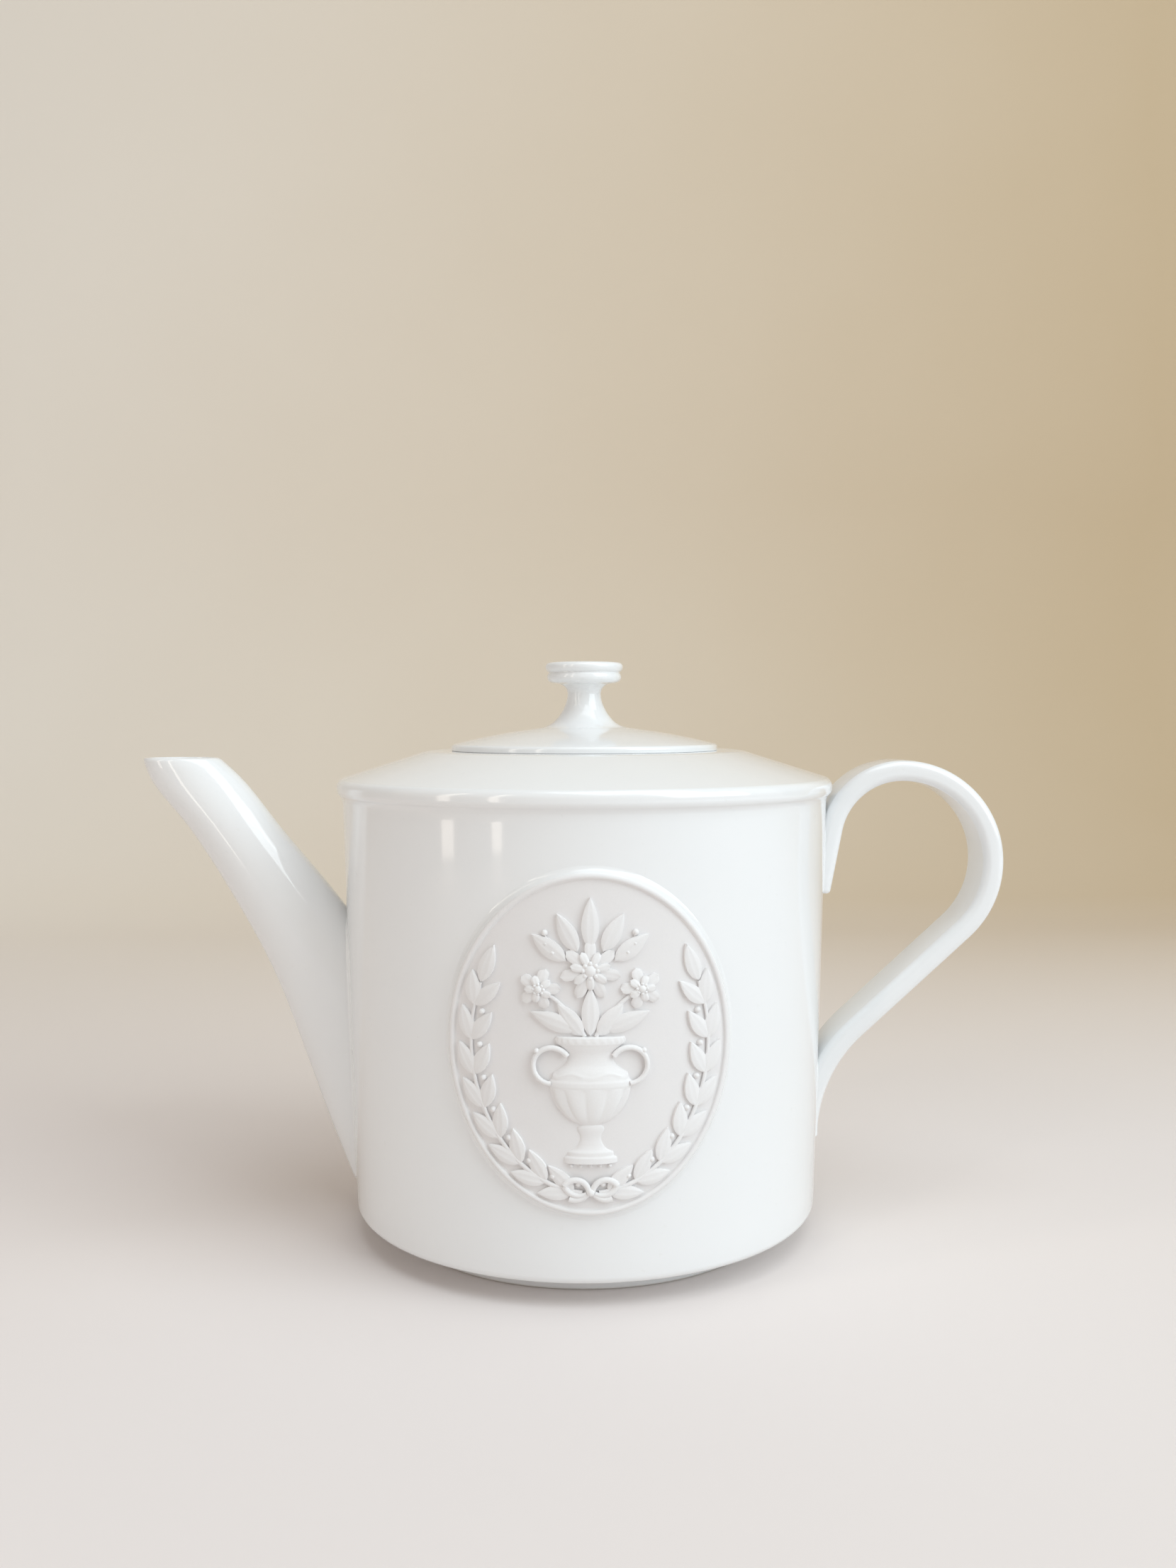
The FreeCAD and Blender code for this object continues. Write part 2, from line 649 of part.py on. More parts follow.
# Knob: flared stem under a round button with a groove between bead and plate
NECK = "(%s + knob_neck_height)" % KNOB_SEAT
BUTTON = "(%s + knob_throat)" % NECK
GROOVE = "(%s + knob_bead_height)" % BUTTON
BUTTON_TOP = "(%s + knob_plate_height)" % GROOVE
knob = new_body("lid_knob")
turn(
    knob,
    "knob_turned",
    (
        ("0", KNOB_SEAT, None),
        ("knob_seat_radius", KNOB_SEAT, ("right", "knob_flare_radius")),
        ("knob_neck_radius", NECK, ("right", "knob_throat")),
        ("knob_neck_radius + knob_throat", BUTTON, None),
        ("knob_groove_radius - knob_bead_inset", BUTTON, ("left", "knob_bead_radius")),
        ("knob_groove_radius", GROOVE, ("left", "knob_plate_radius")),
        ("knob_groove_radius", BUTTON_TOP, None),
        ("0", BUTTON_TOP, None),
    ),
)

# Lug: a small tongue on the flange, set at the notch so that the lid lifts straight out
lug_block = doc.addObject("Part::Box", "lug_block")
lug_block.setExpression("Length", link("%s - mouth_radius + flange_clearance + flange_thickness / 2" % LUG_TIP))
lug_block.setExpression("Width", link("lug_width"))
lug_block.setExpression("Height", link("lug_height"))
lug_block.setExpression("Placement.Base.x", link("-" + LUG_TIP))
lug_block.setExpression("Placement.Base.y", link("-lug_width / 2"))
lug_block.setExpression("Placement.Base.z", link(LUG_TOP + " - lug_height"))
doc.recompute()
lug_rounded = doc.addObject("Part::Fillet", "lug_rounded")
lug_rounded.Base = lug_block
lug_edges = []
for number, edge in enumerate(lug_block.Shape.Edges, 1):
    if abs(edge.BoundBox.XMax - value("-" + LUG_TIP)) < 1e-6:
        lug_edges.append((number, value("lug_edge_radius"), value("lug_edge_radius")))
lug_rounded.Edges = lug_edges
lug_seat = doc.addObject("Part::Cylinder", "lug_seat")
lug_seat.setExpression("Radius", link(FLANGE))
lug_seat.setExpression("Height", link(LEDGE))
lug = combine("Cut", "lid_lug", lug_rounded, lug_seat)

# Medallion: an oval field on the wall with a raised border
CENTRE_UP = "(foot_height + wall_height / 2 + medallion_lift)"


def oval_prism(name, ovals):
    """A prism along Y, in front of the wall, bounded by one oval or the ring between two."""
    body = new_body(name)
    sketch = new_sketch(body, name + "_outline", "XZ_Plane")
    for width, height in ovals:
        draw_oval(sketch, "0", CENTRE_UP, width, height)
    pad = body.newObject("PartDesign::Pad", name + "_pad")
    pad.Profile = sketch
    pad.setExpression("Length", link("top_radius * 2"))
    sketch.Visibility = False
    doc.recompute()
    if body.Shape.BoundBox.YMax > 1.0:
        pad.Reversed = True
        doc.recompute()
    return body


field_prism = oval_prism("field_prism", (("medallion_width", "medallion_height"),))
field_blank = combine("Common", "field_blank", field_prism, cone("field_face", "plaque_thickness"))
field = combine("Cut", "medallion_field", field_blank, cone("wall_under_field", "0"))

border_prism = oval_prism(
    "border_prism",
    (
        ("medallion_width", "medallion_height"),
        ("medallion_width - 2 * border_width", "medallion_height - 2 * border_width"),
    ),
)
border_blank = combine(
    "Common", "border_blank", border_prism, cone("border_face", "plaque_thickness + border_height")
)
border_ring = combine("Cut", "border_ring", border_blank, cone("field_under_border", "plaque_thickness"))
border_edges = []
crest = value("plaque_thickness + border_height")
for number, edge in enumerate(border_ring.Shape.Edges, 1):
    middle = edge.valueAt((edge.FirstParameter + edge.LastParameter) / 2.0)
    proud = math.hypot(middle.x, middle.y) - value("base_radius") - value(TAPER) * (middle.z - value("foot_height"))
    if abs(proud - crest) < 0.05:
        border_edges.append((number, value("border_edge_radius"), value("border_edge_radius")))
border = doc.addObject("Part::Fillet", "medallion_border")
border.Label = "medallion_border"
border.Base = border_ring
border.Edges = border_edges
doc.recompute()

# Sprigs of the medallion: flat-faced pieces that follow the field.
# Their outlines are shares of the half width and half height inside the border.
field_height = value(CENTRE_UP)
field_across = value("medallion_width / 2 - border_width")
field_up = value("medallion_height / 2 - border_width")
prism_reach = value("2 * top_radius")


def on_field(across, up):
    """A point of the drawing, from the oval's centre, in the plane of the pot's axis."""
    return Vec(across, 0, field_height + up)


def prism_of(outline):
    """A prism along Y, in front of the wall, from a closed outline of (across, up, middle) sides."""
    edges = []
    count = len(outline)
    for index in range(count):
        across, up, via = outline[index]
        next_across, next_up, next_via = outline[(index + 1) % count]
        start = on_field(across, up)
        stop = on_field(next_across, next_up)
        if via is None:
            edges.append(Part.LineSegment(start, stop).toShape())
        else:
            edges.append(Part.Arc(start, on_field(via[0], via[1]), stop).toShape())
    face = Part.Face(Part.Wire(edges))
    return face.extrude(Vec(0, -prism_reach, 0))


def leaf_outline(across, up, angle, length, width):
    """A pointed leaf of two arcs from its stalk end."""
    along = Vec(math.cos(angle), math.sin(angle), 0)
    side = Vec(-along.y, along.x, 0)
    tip = Vec(across, up, 0) + along * length
    left = Vec(across, up, 0) + along * (length * 0.45) + side * (width / 2.0)
    right = Vec(across, up, 0) + along * (length * 0.45) - side * (width / 2.0)
    return ((across, up, (right.x, right.y)), (tip.x, tip.y, (left.x, left.y)))


def raised(prisms, height):
    """Cut prisms to the layer between the field's face and a height above it."""
    low = value("plaque_thickness")
    high = low + height
    lift = Vec(0, 0, value("foot_height"))
    outer = Part.makeCone(value("base_radius") + high, value("top_radius") + high, value("wall_height"), lift)
    inner = Part.makeCone(value("base_radius") + low, value("top_radius") + low, value("wall_height"), lift)
    layer = outer.cut(inner)
    whole = prisms[0]
    if len(prisms) > 1:
        whole = prisms[0].multiFuse(prisms[1:])
    return layer.common(whole).removeSplitter()


def sprig(name, shape):
    piece = doc.addObject("Part::Feature", name)
    piece.Label = name
    piece.Shape = shape
    piece.Placement = FreeCAD.Placement()
    return piece


def mirrored(outline):
    """The same outline on the other side of the oval's upright axis."""
    turned_back = []
    count = len(outline)
    for index in range(count):
        across, up, via = outline[(-index) % count]
        before = outline[(-index - 1) % count]
        turned_back.append((-across, up, None if before[2] is None else (-before[2][0], before[2][1])))
    return tuple(turned_back)


# Laurel branches: leaves in pairs along a stem that keeps its distance from the oval's edge
stem_across = 0.874 * field_across
stem_up = 0.897 * field_up
stem_half = 0.0175 * field_across
leaf_length = 0.246 * field_up
leaf_width = 0.112 * field_across


def stem_point(angle):
    return Vec(stem_across * math.cos(angle), stem_up * math.sin(angle), 0)


def stem_heading(angle):
    return math.atan2(stem_up * math.cos(angle), -stem_across * math.sin(angle))


branch_outlines = []
stem_start = math.radians(-86.0)
stem_end = math.radians(24.0)
pair_count = 8
for pair in range(pair_count):
    angle = stem_start + (stem_end - stem_start) * (pair + 0.3) / pair_count
    point = stem_point(angle)
    heading = stem_heading(angle)
    for turn_aside in (0.62, -0.24):
        branch_outlines.append(
            leaf_outline(point.x, point.y, heading + turn_aside, leaf_length * 0.88, leaf_width)
        )
end_point = stem_point(stem_end)
branch_outlines.append(
    leaf_outline(end_point.x, end_point.y, stem_heading(stem_end), leaf_length, leaf_width)
)
stem_outside = []
stem_inside = []
stem_steps = 6
for step in range(stem_steps):
    first = stem_start + (stem_end - stem_start) * step / stem_steps
    last = stem_start + (stem_end - stem_start) * (step + 1) / stem_steps
    for line, side in ((stem_outside, stem_half), (stem_inside, -stem_half)):
        out_first = Vec(math.cos(first), math.sin(first), 0) * side
        out_middle = Vec(math.cos((first + last) / 2), math.sin((first + last) / 2), 0) * side
        line.append((stem_point(first) + out_first, stem_point((first + last) / 2) + out_middle))
stem_tip = stem_point(stem_end)
stem_outline = [(point.x, point.y, (via.x, via.y)) for point, via in stem_outside]
stem_outline.append((stem_tip.x + stem_half, stem_tip.y, None))
inside_back = list(reversed(stem_inside))
stem_outline.append((stem_tip.x - stem_half, stem_tip.y, (inside_back[0][1].x, inside_back[0][1].y)))
for index in range(len(inside_back)):
    point = inside_back[index][0]
    via = inside_back[index + 1][1] if index + 1 < len(inside_back) else None
    stem_outline.append((point.x, point.y, None if via is None else (via.x, via.y)))
branch_outlines.append(tuple(stem_outline))
branch_height = value("branch_relief")
sprig("branch_right", raised([prism_of(outline) for outline in branch_outlines], branch_height))
sprig("branch_left", raised([prism_of(mirrored(outline)) for outline in branch_outlines], branch_height))

# Urn: stepped foot, round bowl, narrow neck and lip, with two loop handles
half = 0.298 * field_across
tall = 0.771 * field_up
foot = -0.714 * field_up
right_side = (
    (0.62 * half, foot, None),
    (0.62 * half, foot + 0.09 * tall, None),
    (0.44 * half, foot + 0.09 * tall, (0.26 * half, foot + 0.17 * tall)),
    (0.24 * half, foot + 0.28 * tall, (0.80 * half, foot + 0.38 * tall)),
    (half, foot + 0.62 * tall, (0.86 * half, foot + 0.74 * tall)),
    (0.55 * half, foot + 0.80 * tall, (0.56 * half, foot + 0.88 * tall)),
    (0.82 * half, foot + 0.94 * tall, None),
    (0.82 * half, foot + tall, None),
)
urn_half = right_side + ((0.0, foot + tall, None), (0.0, foot, None))
loop_right = (
    (0.62 * half, foot + 0.86 * tall, (1.42 * half, foot + 0.84 * tall)),
    (0.98 * half, foot + 0.60 * tall, None),
    (0.87 * half, foot + 0.66 * tall, (1.22 * half, foot + 0.80 * tall)),
    (0.62 * half, foot + 0.82 * tall, None),
)
sprig(
    "urn",
    raised(
        [
            prism_of(urn_half),
            prism_of(mirrored(urn_half)),
            prism_of(loop_right),
            prism_of(mirrored(loop_right)),
        ],
        value("urn_relief"),
    ),
)

# Bouquet: a middle flower, side flowers, buds and leaves fanning out of the urn
lip_up = foot + tall
flower_up = 0.457 * field_up
flower_radius = 0.2246 * field_across
bud_radius = 0.1544 * field_across


def flower_outline(across, up, radius, petals):
    """A round flower with scalloped petals."""
    inner = radius * 0.84
    outline = []
    for petal in range(petals):
        start = 2.0 * math.pi * petal / petals
        middle = 2.0 * math.pi * (petal + 0.5) / petals
        outline.append(
            (
                across + inner * math.cos(start),
                up + inner * math.sin(start),
                (across + radius * math.cos(middle), up + radius * math.sin(middle)),
            )
        )
    return tuple(outline)


bouquet_outlines = [flower_outline(0.0, flower_up, flower_radius, 8)]
for side in (1.0, -1.0):
    bouquet_outlines.append(
        flower_outline(side * (flower_radius + bud_radius * 0.95), flower_up - 0.9 * bud_radius, bud_radius, 6)
    )
fan = (
    (0.0, flower_up + 0.7 * flower_radius, 90.0, 1.25),
    (0.41 * flower_radius, flower_up + 0.6 * flower_radius, 62.0, 1.05),
    (0.78 * flower_radius, flower_up + 0.3 * flower_radius, 38.0, 1.05),
    (0.23 * flower_radius, lip_up + 0.03 * flower_radius, 52.0, 1.0),
    (0.44 * flower_radius, lip_up + 0.2 * flower_radius, 22.0, 1.2),
    (0.0, lip_up + 0.03 * flower_radius, 90.0, 1.2),
)
for across, up, angle, share in fan:
    leaf = leaf_outline(across, up, math.radians(angle), leaf_length * share, leaf_width * 1.15)
    bouquet_outlines.append(leaf)
    if across > 0.0:
        bouquet_outlines.append(mirrored(leaf))
sprig("bouquet", raised([prism_of(outline) for outline in bouquet_outlines], value("bouquet_relief")))
doc.recompute()

# Every object is sound before anything is written
NODES = (
    "pot_body",
    "shoulder",
    "spout",
    "handle",
    "medallion_field",
    "medallion_border",
    "urn",
    "bouquet",
    "branch_left",
    "branch_right",
    "lid",
    "lid_knob",
    "lid_lug",
)
failed = [item.Label for item in doc.Objects if "Invalid" in item.State or "Error" in item.State]
if failed:
    raise RuntimeError("objects that failed: %s" % ", ".join(failed))
pieces = {}
for label in NODES:
    piece = doc.getObjectsByLabel(label)[0]
    shape = piece.Shape
    if shape.isNull() or not shape.isValid() or not shape.Solids:
        raise RuntimeError("unsound piece: " + label)
    pieces[label] = shape

os.makedirs("parts", exist_ok=True)
for label, shape in pieces.items():
    solids = shape.Solids
    whole = solids[0] if len(solids) == 1 else Part.makeCompound(solids)
    whole.exportStep("parts/%s.step" % label)
    print(label, len(solids), round(shape.Volume, 1), shape.BoundBox)
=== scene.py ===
import math
import bpy
import bmesh
from mathutils import Matrix, Vector


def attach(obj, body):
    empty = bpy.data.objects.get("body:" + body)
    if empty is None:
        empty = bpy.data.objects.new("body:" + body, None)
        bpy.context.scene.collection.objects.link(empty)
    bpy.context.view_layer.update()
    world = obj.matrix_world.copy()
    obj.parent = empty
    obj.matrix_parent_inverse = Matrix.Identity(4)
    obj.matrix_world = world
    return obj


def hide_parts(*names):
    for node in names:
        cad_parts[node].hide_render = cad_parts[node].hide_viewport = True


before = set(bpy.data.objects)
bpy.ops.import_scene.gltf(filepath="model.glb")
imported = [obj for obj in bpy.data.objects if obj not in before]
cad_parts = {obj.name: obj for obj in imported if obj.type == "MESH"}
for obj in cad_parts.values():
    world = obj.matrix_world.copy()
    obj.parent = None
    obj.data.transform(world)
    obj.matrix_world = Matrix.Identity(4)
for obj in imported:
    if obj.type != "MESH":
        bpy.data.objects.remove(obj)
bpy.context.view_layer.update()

# A white porcelain teapot with an unglazed oval medallion.
# Pieces are modelled in millimetres and brought to metres when they are finished.
MILLIMETRE = 0.001

# Heights of the wall's lower edge, the shoulder's seat and the lid's ledge
FOOT = 5.5
SEAT = 109.4
LEDGE = 120.0

# Outer radii of the wall at its lower edge and at the seat, and how fast it widens between them
BASE_RADIUS = 58.2
TOP_RADIUS = 60.8
WALL_SLOPE = (TOP_RADIUS - BASE_RADIUS) / (SEAT - FOOT)

# Medallion: the height of its centre, half its width and height, and how far its plaque stands off the wall
OVAL_HEIGHT = 58.75
OVAL_HALF_WIDTH = 30.5
OVAL_HALF_HEIGHT = 37.0
PLAQUE = 0.9


def wall_radius(height):
    """Outer radius of the pot's wall at a height."""
    return BASE_RADIUS + WALL_SLOPE * (height - FOOT)


# Materials

# Colours of the glazed porcelain, its specks and the foot that is wiped bare
SHADED_WHITE = (0.846, 0.858, 0.866, 1.0)
CLEAR_WHITE = (0.884, 0.891, 0.893, 1.0)
SPECK_GREY = (0.72, 0.70, 0.66, 1.0)
BARE_CLAY = (0.78, 0.755, 0.715, 1.0)

# Colours of the biscuit down on the field, and the lighter ones painted on what stands proud of it as painted
# light on the raised relief
FIELD_SHADED = (0.822, 0.806, 0.804, 1.0)
FIELD_CLEAR = (0.852, 0.838, 0.836, 1.0)
PROUD_PAINTED_LIGHT_SHADED = (0.874, 0.872, 0.872, 1.0)
PROUD_PAINTED_LIGHT_CLEAR = (0.896, 0.894, 0.894, 1.0)
POWDER_GREY = (0.74, 0.72, 0.715, 1.0)

# Heights in metres: the bare foot, the start of the glaze above it, and what counts as standing proud, where
# the biscuit's painted light is full
BARE_HEIGHT = 0.0002
GLAZE_START = 0.0005
PROUD_HEIGHT = 0.0016

# Depths in metres of the waves, skin and specks of the glaze and of the biscuit's powder and tooth
WAVE_DEPTH = 0.000042
SKIN_DEPTH = 0.0000011
SPECK_DEPTH = 0.000012
POWDER_DEPTH = 0.0000085
TOOTH_DEPTH = 0.000012


class Feed:
    """One output of a material's nodes; arithmetic on it adds the nodes that work it out."""

    def __init__(self, tree, socket=None):
        self.tree = tree
        self.socket = socket

    def node(self, kind, settings=None, inputs=None, output=0):
        made = self.tree.nodes.new(kind)
        for name, setting in (settings or {}).items():
            setattr(made, name, setting)
        for name, value in (inputs or {}).items():
            if isinstance(value, Feed):
                self.tree.links.new(value.socket, made.inputs[name])
            else:
                made.inputs[name].default_value = value
        return Feed(self.tree, made.outputs[output])

    def maths(self, operation, first, second, clamp=False):
        return self.node(
            "ShaderNodeMath",
            {"operation": operation, "use_clamp": clamp},
            {0: first, 1: second},
        )

    def __add__(self, other):
        return self.maths("ADD", self, other)

    def __sub__(self, other):
        return self.maths("SUBTRACT", self, other)

    def __mul__(self, other):
        return self.maths("MULTIPLY", self, other)

    def __truediv__(self, other):
        return self.maths("DIVIDE", self, other)

    def __radd__(self, other):
        return self.maths("ADD", other, self)

    def __rsub__(self, other):
        return self.maths("SUBTRACT", other, self)

    def __rmul__(self, other):
        return self.maths("MULTIPLY", other, self)

    def __rtruediv__(self, other):
        return self.maths("DIVIDE", other, self)

    def along(self, axis):
        """One coordinate of a position."""
        return self.node("ShaderNodeSeparateXYZ", None, {"Vector": self}, output=axis)

    def held(self):
        """The same value kept between 0 and 1."""
        return self.maths("ADD", self, 0.0, clamp=True)

    def between(self, low, high):
        """A colour from low to high as this value goes from 0 to 1."""
        return self.node("ShaderNodeMix", {"data_type": "RGBA"}, {0: self, 6: low, 7: high}, output=2)

    def grain(self, scale, detail=2.0, roughness=0.5):
        """Soft noise over a position, about 0.5 in the middle; scale is in waves per metre."""
        return self.node(
            "ShaderNodeTexNoise",
            {"noise_dimensions": "3D"},
            {"Vector": self, "Scale": scale, "Detail": detail, "Roughness": roughness},
        )


def new_material(name):
    """A material with its nodes, its shader and the position on the piece."""
    material = bpy.data.materials.new(name)
    material.use_nodes = True
    tree = material.node_tree
    shader = tree.nodes["Principled BSDF"]
    place = Feed(tree).node("ShaderNodeTexCoord", output="Object")
    return material, tree, shader, place


def feed_into(tree, shader, **feeds):
    """Lead the varying values of a finish into the shader."""
    for name, feed in feeds.items():
        tree.links.new(feed.socket, shader.inputs[name.replace("_", " ")])


def relief_normal(height):
    """A surface normal from a height in metres."""
    return height.node("ShaderNodeBump", None, {"Strength": 1.0, "Distance": 1.0, "Height": height})


def glaze_finish():
    """Clear glaze over white porcelain: long soft waves, a faint skin and a bare bearing ring."""
    material, tree, shader, place = new_material("white_glaze")
    waves = place.grain(46.0, 1.0)
    skin = place.grain(620.0, 1.0)
    cloud = place.grain(17.0, 2.0)
    speck = ((place.grain(900.0, 0.0) - 0.78) * 9.0).held()
    bare = (1.0 - (place.along("Z") - BARE_HEIGHT) / GLAZE_START).held()
    body_white = cloud.between(SHADED_WHITE, CLEAR_WHITE)
    dotted = (speck * 0.10).between(body_white, SPECK_GREY)
    colour = bare.between(dotted, BARE_CLAY)
    roughness = 0.055 + cloud * 0.05 + skin * 0.02 + bare * 0.55
    height = waves * WAVE_DEPTH + skin * SKIN_DEPTH - speck * SPECK_DEPTH
    shader.inputs["IOR"].default_value = 1.52
    shader.inputs["Coat Roughness"].default_value = 0.03
    shader.inputs["Coat IOR"].default_value = 1.5
    feed_into(
        tree,
        shader,
        Base_Color=colour,
        Roughness=roughness,
        Coat_Weight=0.35 - bare * 0.35,
        Normal=relief_normal(height),
    )
    return material


def biscuit_finish():
    """Unglazed porcelain: dry, fine-grained, a little smoother on what stands proud, with painted light
    making the raised relief lighter than the field.
    """
    material, tree, shader, place = new_material("bare_biscuit")
    cloud = place.grain(30.0, 2.0)
    powder = place.grain(2600.0, 2.0, 0.6)
    tooth = place.grain(900.0, 2.0)
    level = place.node("ShaderNodeVectorMath", {"operation": "MULTIPLY"}, {0: place, 1: (1.0, 1.0, 0.0)})
    reach = level.node("ShaderNodeVectorMath", {"operation": "LENGTH"}, {0: level}, output="Value")
    wall = BASE_RADIUS * MILLIMETRE + WALL_SLOPE * (place.along("Z") - FOOT * MILLIMETRE)
    # Share of standing proud: the relief is smoother there, and painted light lightens its colour
    proud = ((reach - wall - PLAQUE * MILLIMETRE) / PROUD_HEIGHT).held()
    low = cloud.between(FIELD_SHADED, FIELD_CLEAR)
    high = cloud.between(PROUD_PAINTED_LIGHT_SHADED, PROUD_PAINTED_LIGHT_CLEAR)
    # Powder grain over the field colour and the painted light on the relief
    grain_and_painted_light = (powder * 0.30).between(proud.between(low, high), POWDER_GREY)
    roughness = 0.74 + tooth * 0.10 - proud * 0.16
    height = powder * POWDER_DEPTH + tooth * TOOTH_DEPTH
    shader.inputs["IOR"].default_value = 1.5
    shader.inputs["Specular IOR Level"].default_value = 0.32
    feed_into(tree, shader, Base_Color=grain_and_painted_light, Roughness=roughness, Normal=relief_normal(height))
    return material


GLAZE = glaze_finish()
BISCUIT = biscuit_finish()


# Making and finishing pieces

# The largest share of an edge that the rounding of one corner takes, and the steps round it
ROUNDING_SHARE = 0.48
ROUNDING_STEPS = 7

# Points of a turned skin, and of a sprig, that are closer than this are one
SKIN_MERGE = 0.002
SPRIG_MERGE = 0.0005


def scene_object(bm, name):
    """An object with the modelled shape as its smooth mesh."""
    mesh = bpy.data.meshes.new(name)
    bm.to_mesh(mesh)
    bm.free()
    mesh.polygons.foreach_set("use_smooth", [True] * len(mesh.polygons))
    made = bpy.data.objects.new(name, mesh)
    bpy.context.scene.collection.objects.link(made)
    return made


def finished(bm, name, material, body, nodes=(), crease=38.0):
    """Bring a modelled piece to metres, hang it on its body and let it stand for its nodes."""
    bmesh.ops.scale(bm, vec=(MILLIMETRE, MILLIMETRE, MILLIMETRE), verts=bm.verts)
    piece = scene_object(bm, name)
    piece.data.set_sharp_from_angle(angle=math.radians(crease))
    piece.data.materials.append(material)
    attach(piece, body)
    if nodes:
        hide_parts(*nodes)


def softened(bm, geom, rounding, segments, affect):
    """Round off corners (VERTICES) or edges (EDGES)."""
    bmesh.ops.bevel(
        bm,
        geom=geom,
        offset=rounding,
        offset_type="OFFSET",
        segments=segments,
        profile=0.5,
        affect=affect,
        material=-1,
    )


def new_points(made):
    """The points among what an operator made."""
    return [item for item in made if isinstance(item, bmesh.types.BMVert)]


def block(centre, size):
    """A plain box."""
    bm = bmesh.new()
    bmesh.ops.create_cube(bm, size=1.0, matrix=Matrix.Translation(centre) @ Matrix.Diagonal((*size, 1.0)))
    return bm


def round_bar(radius, length, segments, place):
    """A round bar about its own middle, laid by a matrix."""
    bm = bmesh.new()
    bmesh.ops.create_cone(
        bm,
        cap_ends=True,
        segments=segments,
        radius1=radius,
        radius2=radius,
        depth=length,
        matrix=place,
    )
    return bm


def outline(corners):
    """A wire through (radius, height, rounding) corners in a plane of the axis."""
    bm = bmesh.new()
    points = [bm.verts.new((radius, 0.0, height)) for radius, height, rounding in corners]
    for first, last in zip(points, points[1:]):
        bm.edges.new((first, last))
    roundings = []
    for point, (radius, height, rounding) in zip(points, corners):
        if rounding > 0.0:
            room = min(edge.calc_length() for edge in point.link_edges)
            roundings.append((point, min(rounding, ROUNDING_SHARE * room)))
    for point, rounding in roundings:
        softened(bm, [point], rounding, ROUNDING_STEPS, "VERTICES")
    return bm


def turned(bm, steps=224):
    """Turn a wire round the pot's axis into a closed skin."""
    bmesh.ops.spin(
        bm,
        geom=bm.verts[:] + bm.edges[:],
        cent=(0.0, 0.0, 0.0),
        axis=(0.0, 0.0, 1.0),
        angle=2.0 * math.pi,
        steps=steps,
        use_merge=True,
    )
    bmesh.ops.remove_doubles(bm, verts=bm.verts, dist=SKIN_MERGE)
    bmesh.ops.recalc_face_normals(bm, faces=bm.faces)
    return bm


def cut_away(bm, tools):
    """The piece less each of the tools."""
    blank = scene_object(bm, "blank")
    spares = [blank]
    for tool in tools:
        knife = scene_object(tool, "knife")
        spares.append(knife)
        change = blank.modifiers.new("cut", "BOOLEAN")
        change.operation = "DIFFERENCE"
        change.solver = "EXACT"
        change.object = knife
    graph = bpy.context.evaluated_depsgraph_get()
    mesh = bpy.data.meshes.new_from_object(blank.evaluated_get(graph))
    result = bmesh.new()
    result.from_mesh(mesh)
    for spare in spares:
        data = spare.data
        bpy.data.objects.remove(spare)
        bpy.data.meshes.remove(data)
    bpy.data.meshes.remove(mesh)
    return result


def wall_block():
    """The pot's outside as a plain solid, to trim what is luted on."""
    corners = (
        (0.0, FOOT, 0.0),
        (BASE_RADIUS, FOOT, 0.0),
        (TOP_RADIUS, SEAT, 0.0),
        (0.0, SEAT, 0.0),
    )
    return turned(outline(corners))


def ring_edges(bm, ring):
    """The edges that join the points of one ring."""
    members = set(ring)
    return [edge for edge in bm.edges if edge.verts[0] in members and edge.verts[1] in members]


def grown_ring(bm, ring, change):
    """Draw a ring of points out into the next one, moved by a matrix."""
    grown = bmesh.ops.extrude_edge_only(bm, edges=ring_edges(bm, ring))
    following = new_points(grown["geom"])
    bmesh.ops.transform(bm, matrix=change, verts=following)
    return following


def lidded(bm, ring):
    """Close a ring with a face."""
    bmesh.ops.contextual_create(bm, geom=ring_edges(bm, ring))


def smooth_between(stations, height):
    """Values of a smooth curve through (height, value, value, ...) stations."""
    count = len(stations)
    index = max(i for i in range(count - 1) if stations[i][0] <= height or i == 0)
    low = stations[index]
    high = stations[index + 1]
    span = high[0] - low[0]
    share = (height - low[0]) / span
    values = []
    for item in range(1, len(low)):
        slopes = []
        for place in (index, index + 1):
            before = stations[max(place - 1, 0)]
            after = stations[min(place + 1, count - 1)]
            slopes.append((after[item] - before[item]) / (after[0] - before[0]) * span)
        cube = share ** 3
        square = share ** 2
        values.append(
            (2 * cube - 3 * square + 1) * low[item]
            + (cube - 2 * square + share) * slopes[0]
            + (3 * square - 2 * cube) * high[item]
            + (cube - square) * slopes[1]
        )
    return values


# A trimmed point this near the wall is on it; the leans along a seam are evened out this many times
NEAR_WALL = 0.02
SEAM_SMOOTHING = 10

# Slip in a seam: how far its edges sink into wall and piece, its steps across and its reach below the seam
WALL_SINK = 0.03
PIECE_SINK = 0.14
SLIP_STEPS = 8
SLIP_ROOT = 0.2


def on_wall(point):
    """Whether a point of a trimmed piece lies on the pot's wall."""
    return abs(math.hypot(point.co.x, point.co.y) - wall_radius(point.co.z)) < NEAR_WALL


def seams_on_wall(bm):
    """The closed runs of edges along which a trimmed piece meets the wall, longest first."""
    seat = {face for face in bm.faces if all(on_wall(point) for point in face.verts)}
    loose = {
        edge
        for edge in bm.edges
        if len(edge.link_faces) == 2 and (edge.link_faces[0] in seat) != (edge.link_faces[1] in seat)
    }
    runs = []
    while loose:
        run = [loose.pop()]
        waiting = list(run[0].verts)
        while waiting:
            for edge in waiting.pop().link_edges:
                if edge in loose:
                    loose.remove(edge)
                    run.append(edge)
                    waiting.extend(edge.verts)
        runs.append(run)
    runs.sort(key=lambda run: -sum(edge.calc_length() for edge in run))
    return runs, seat


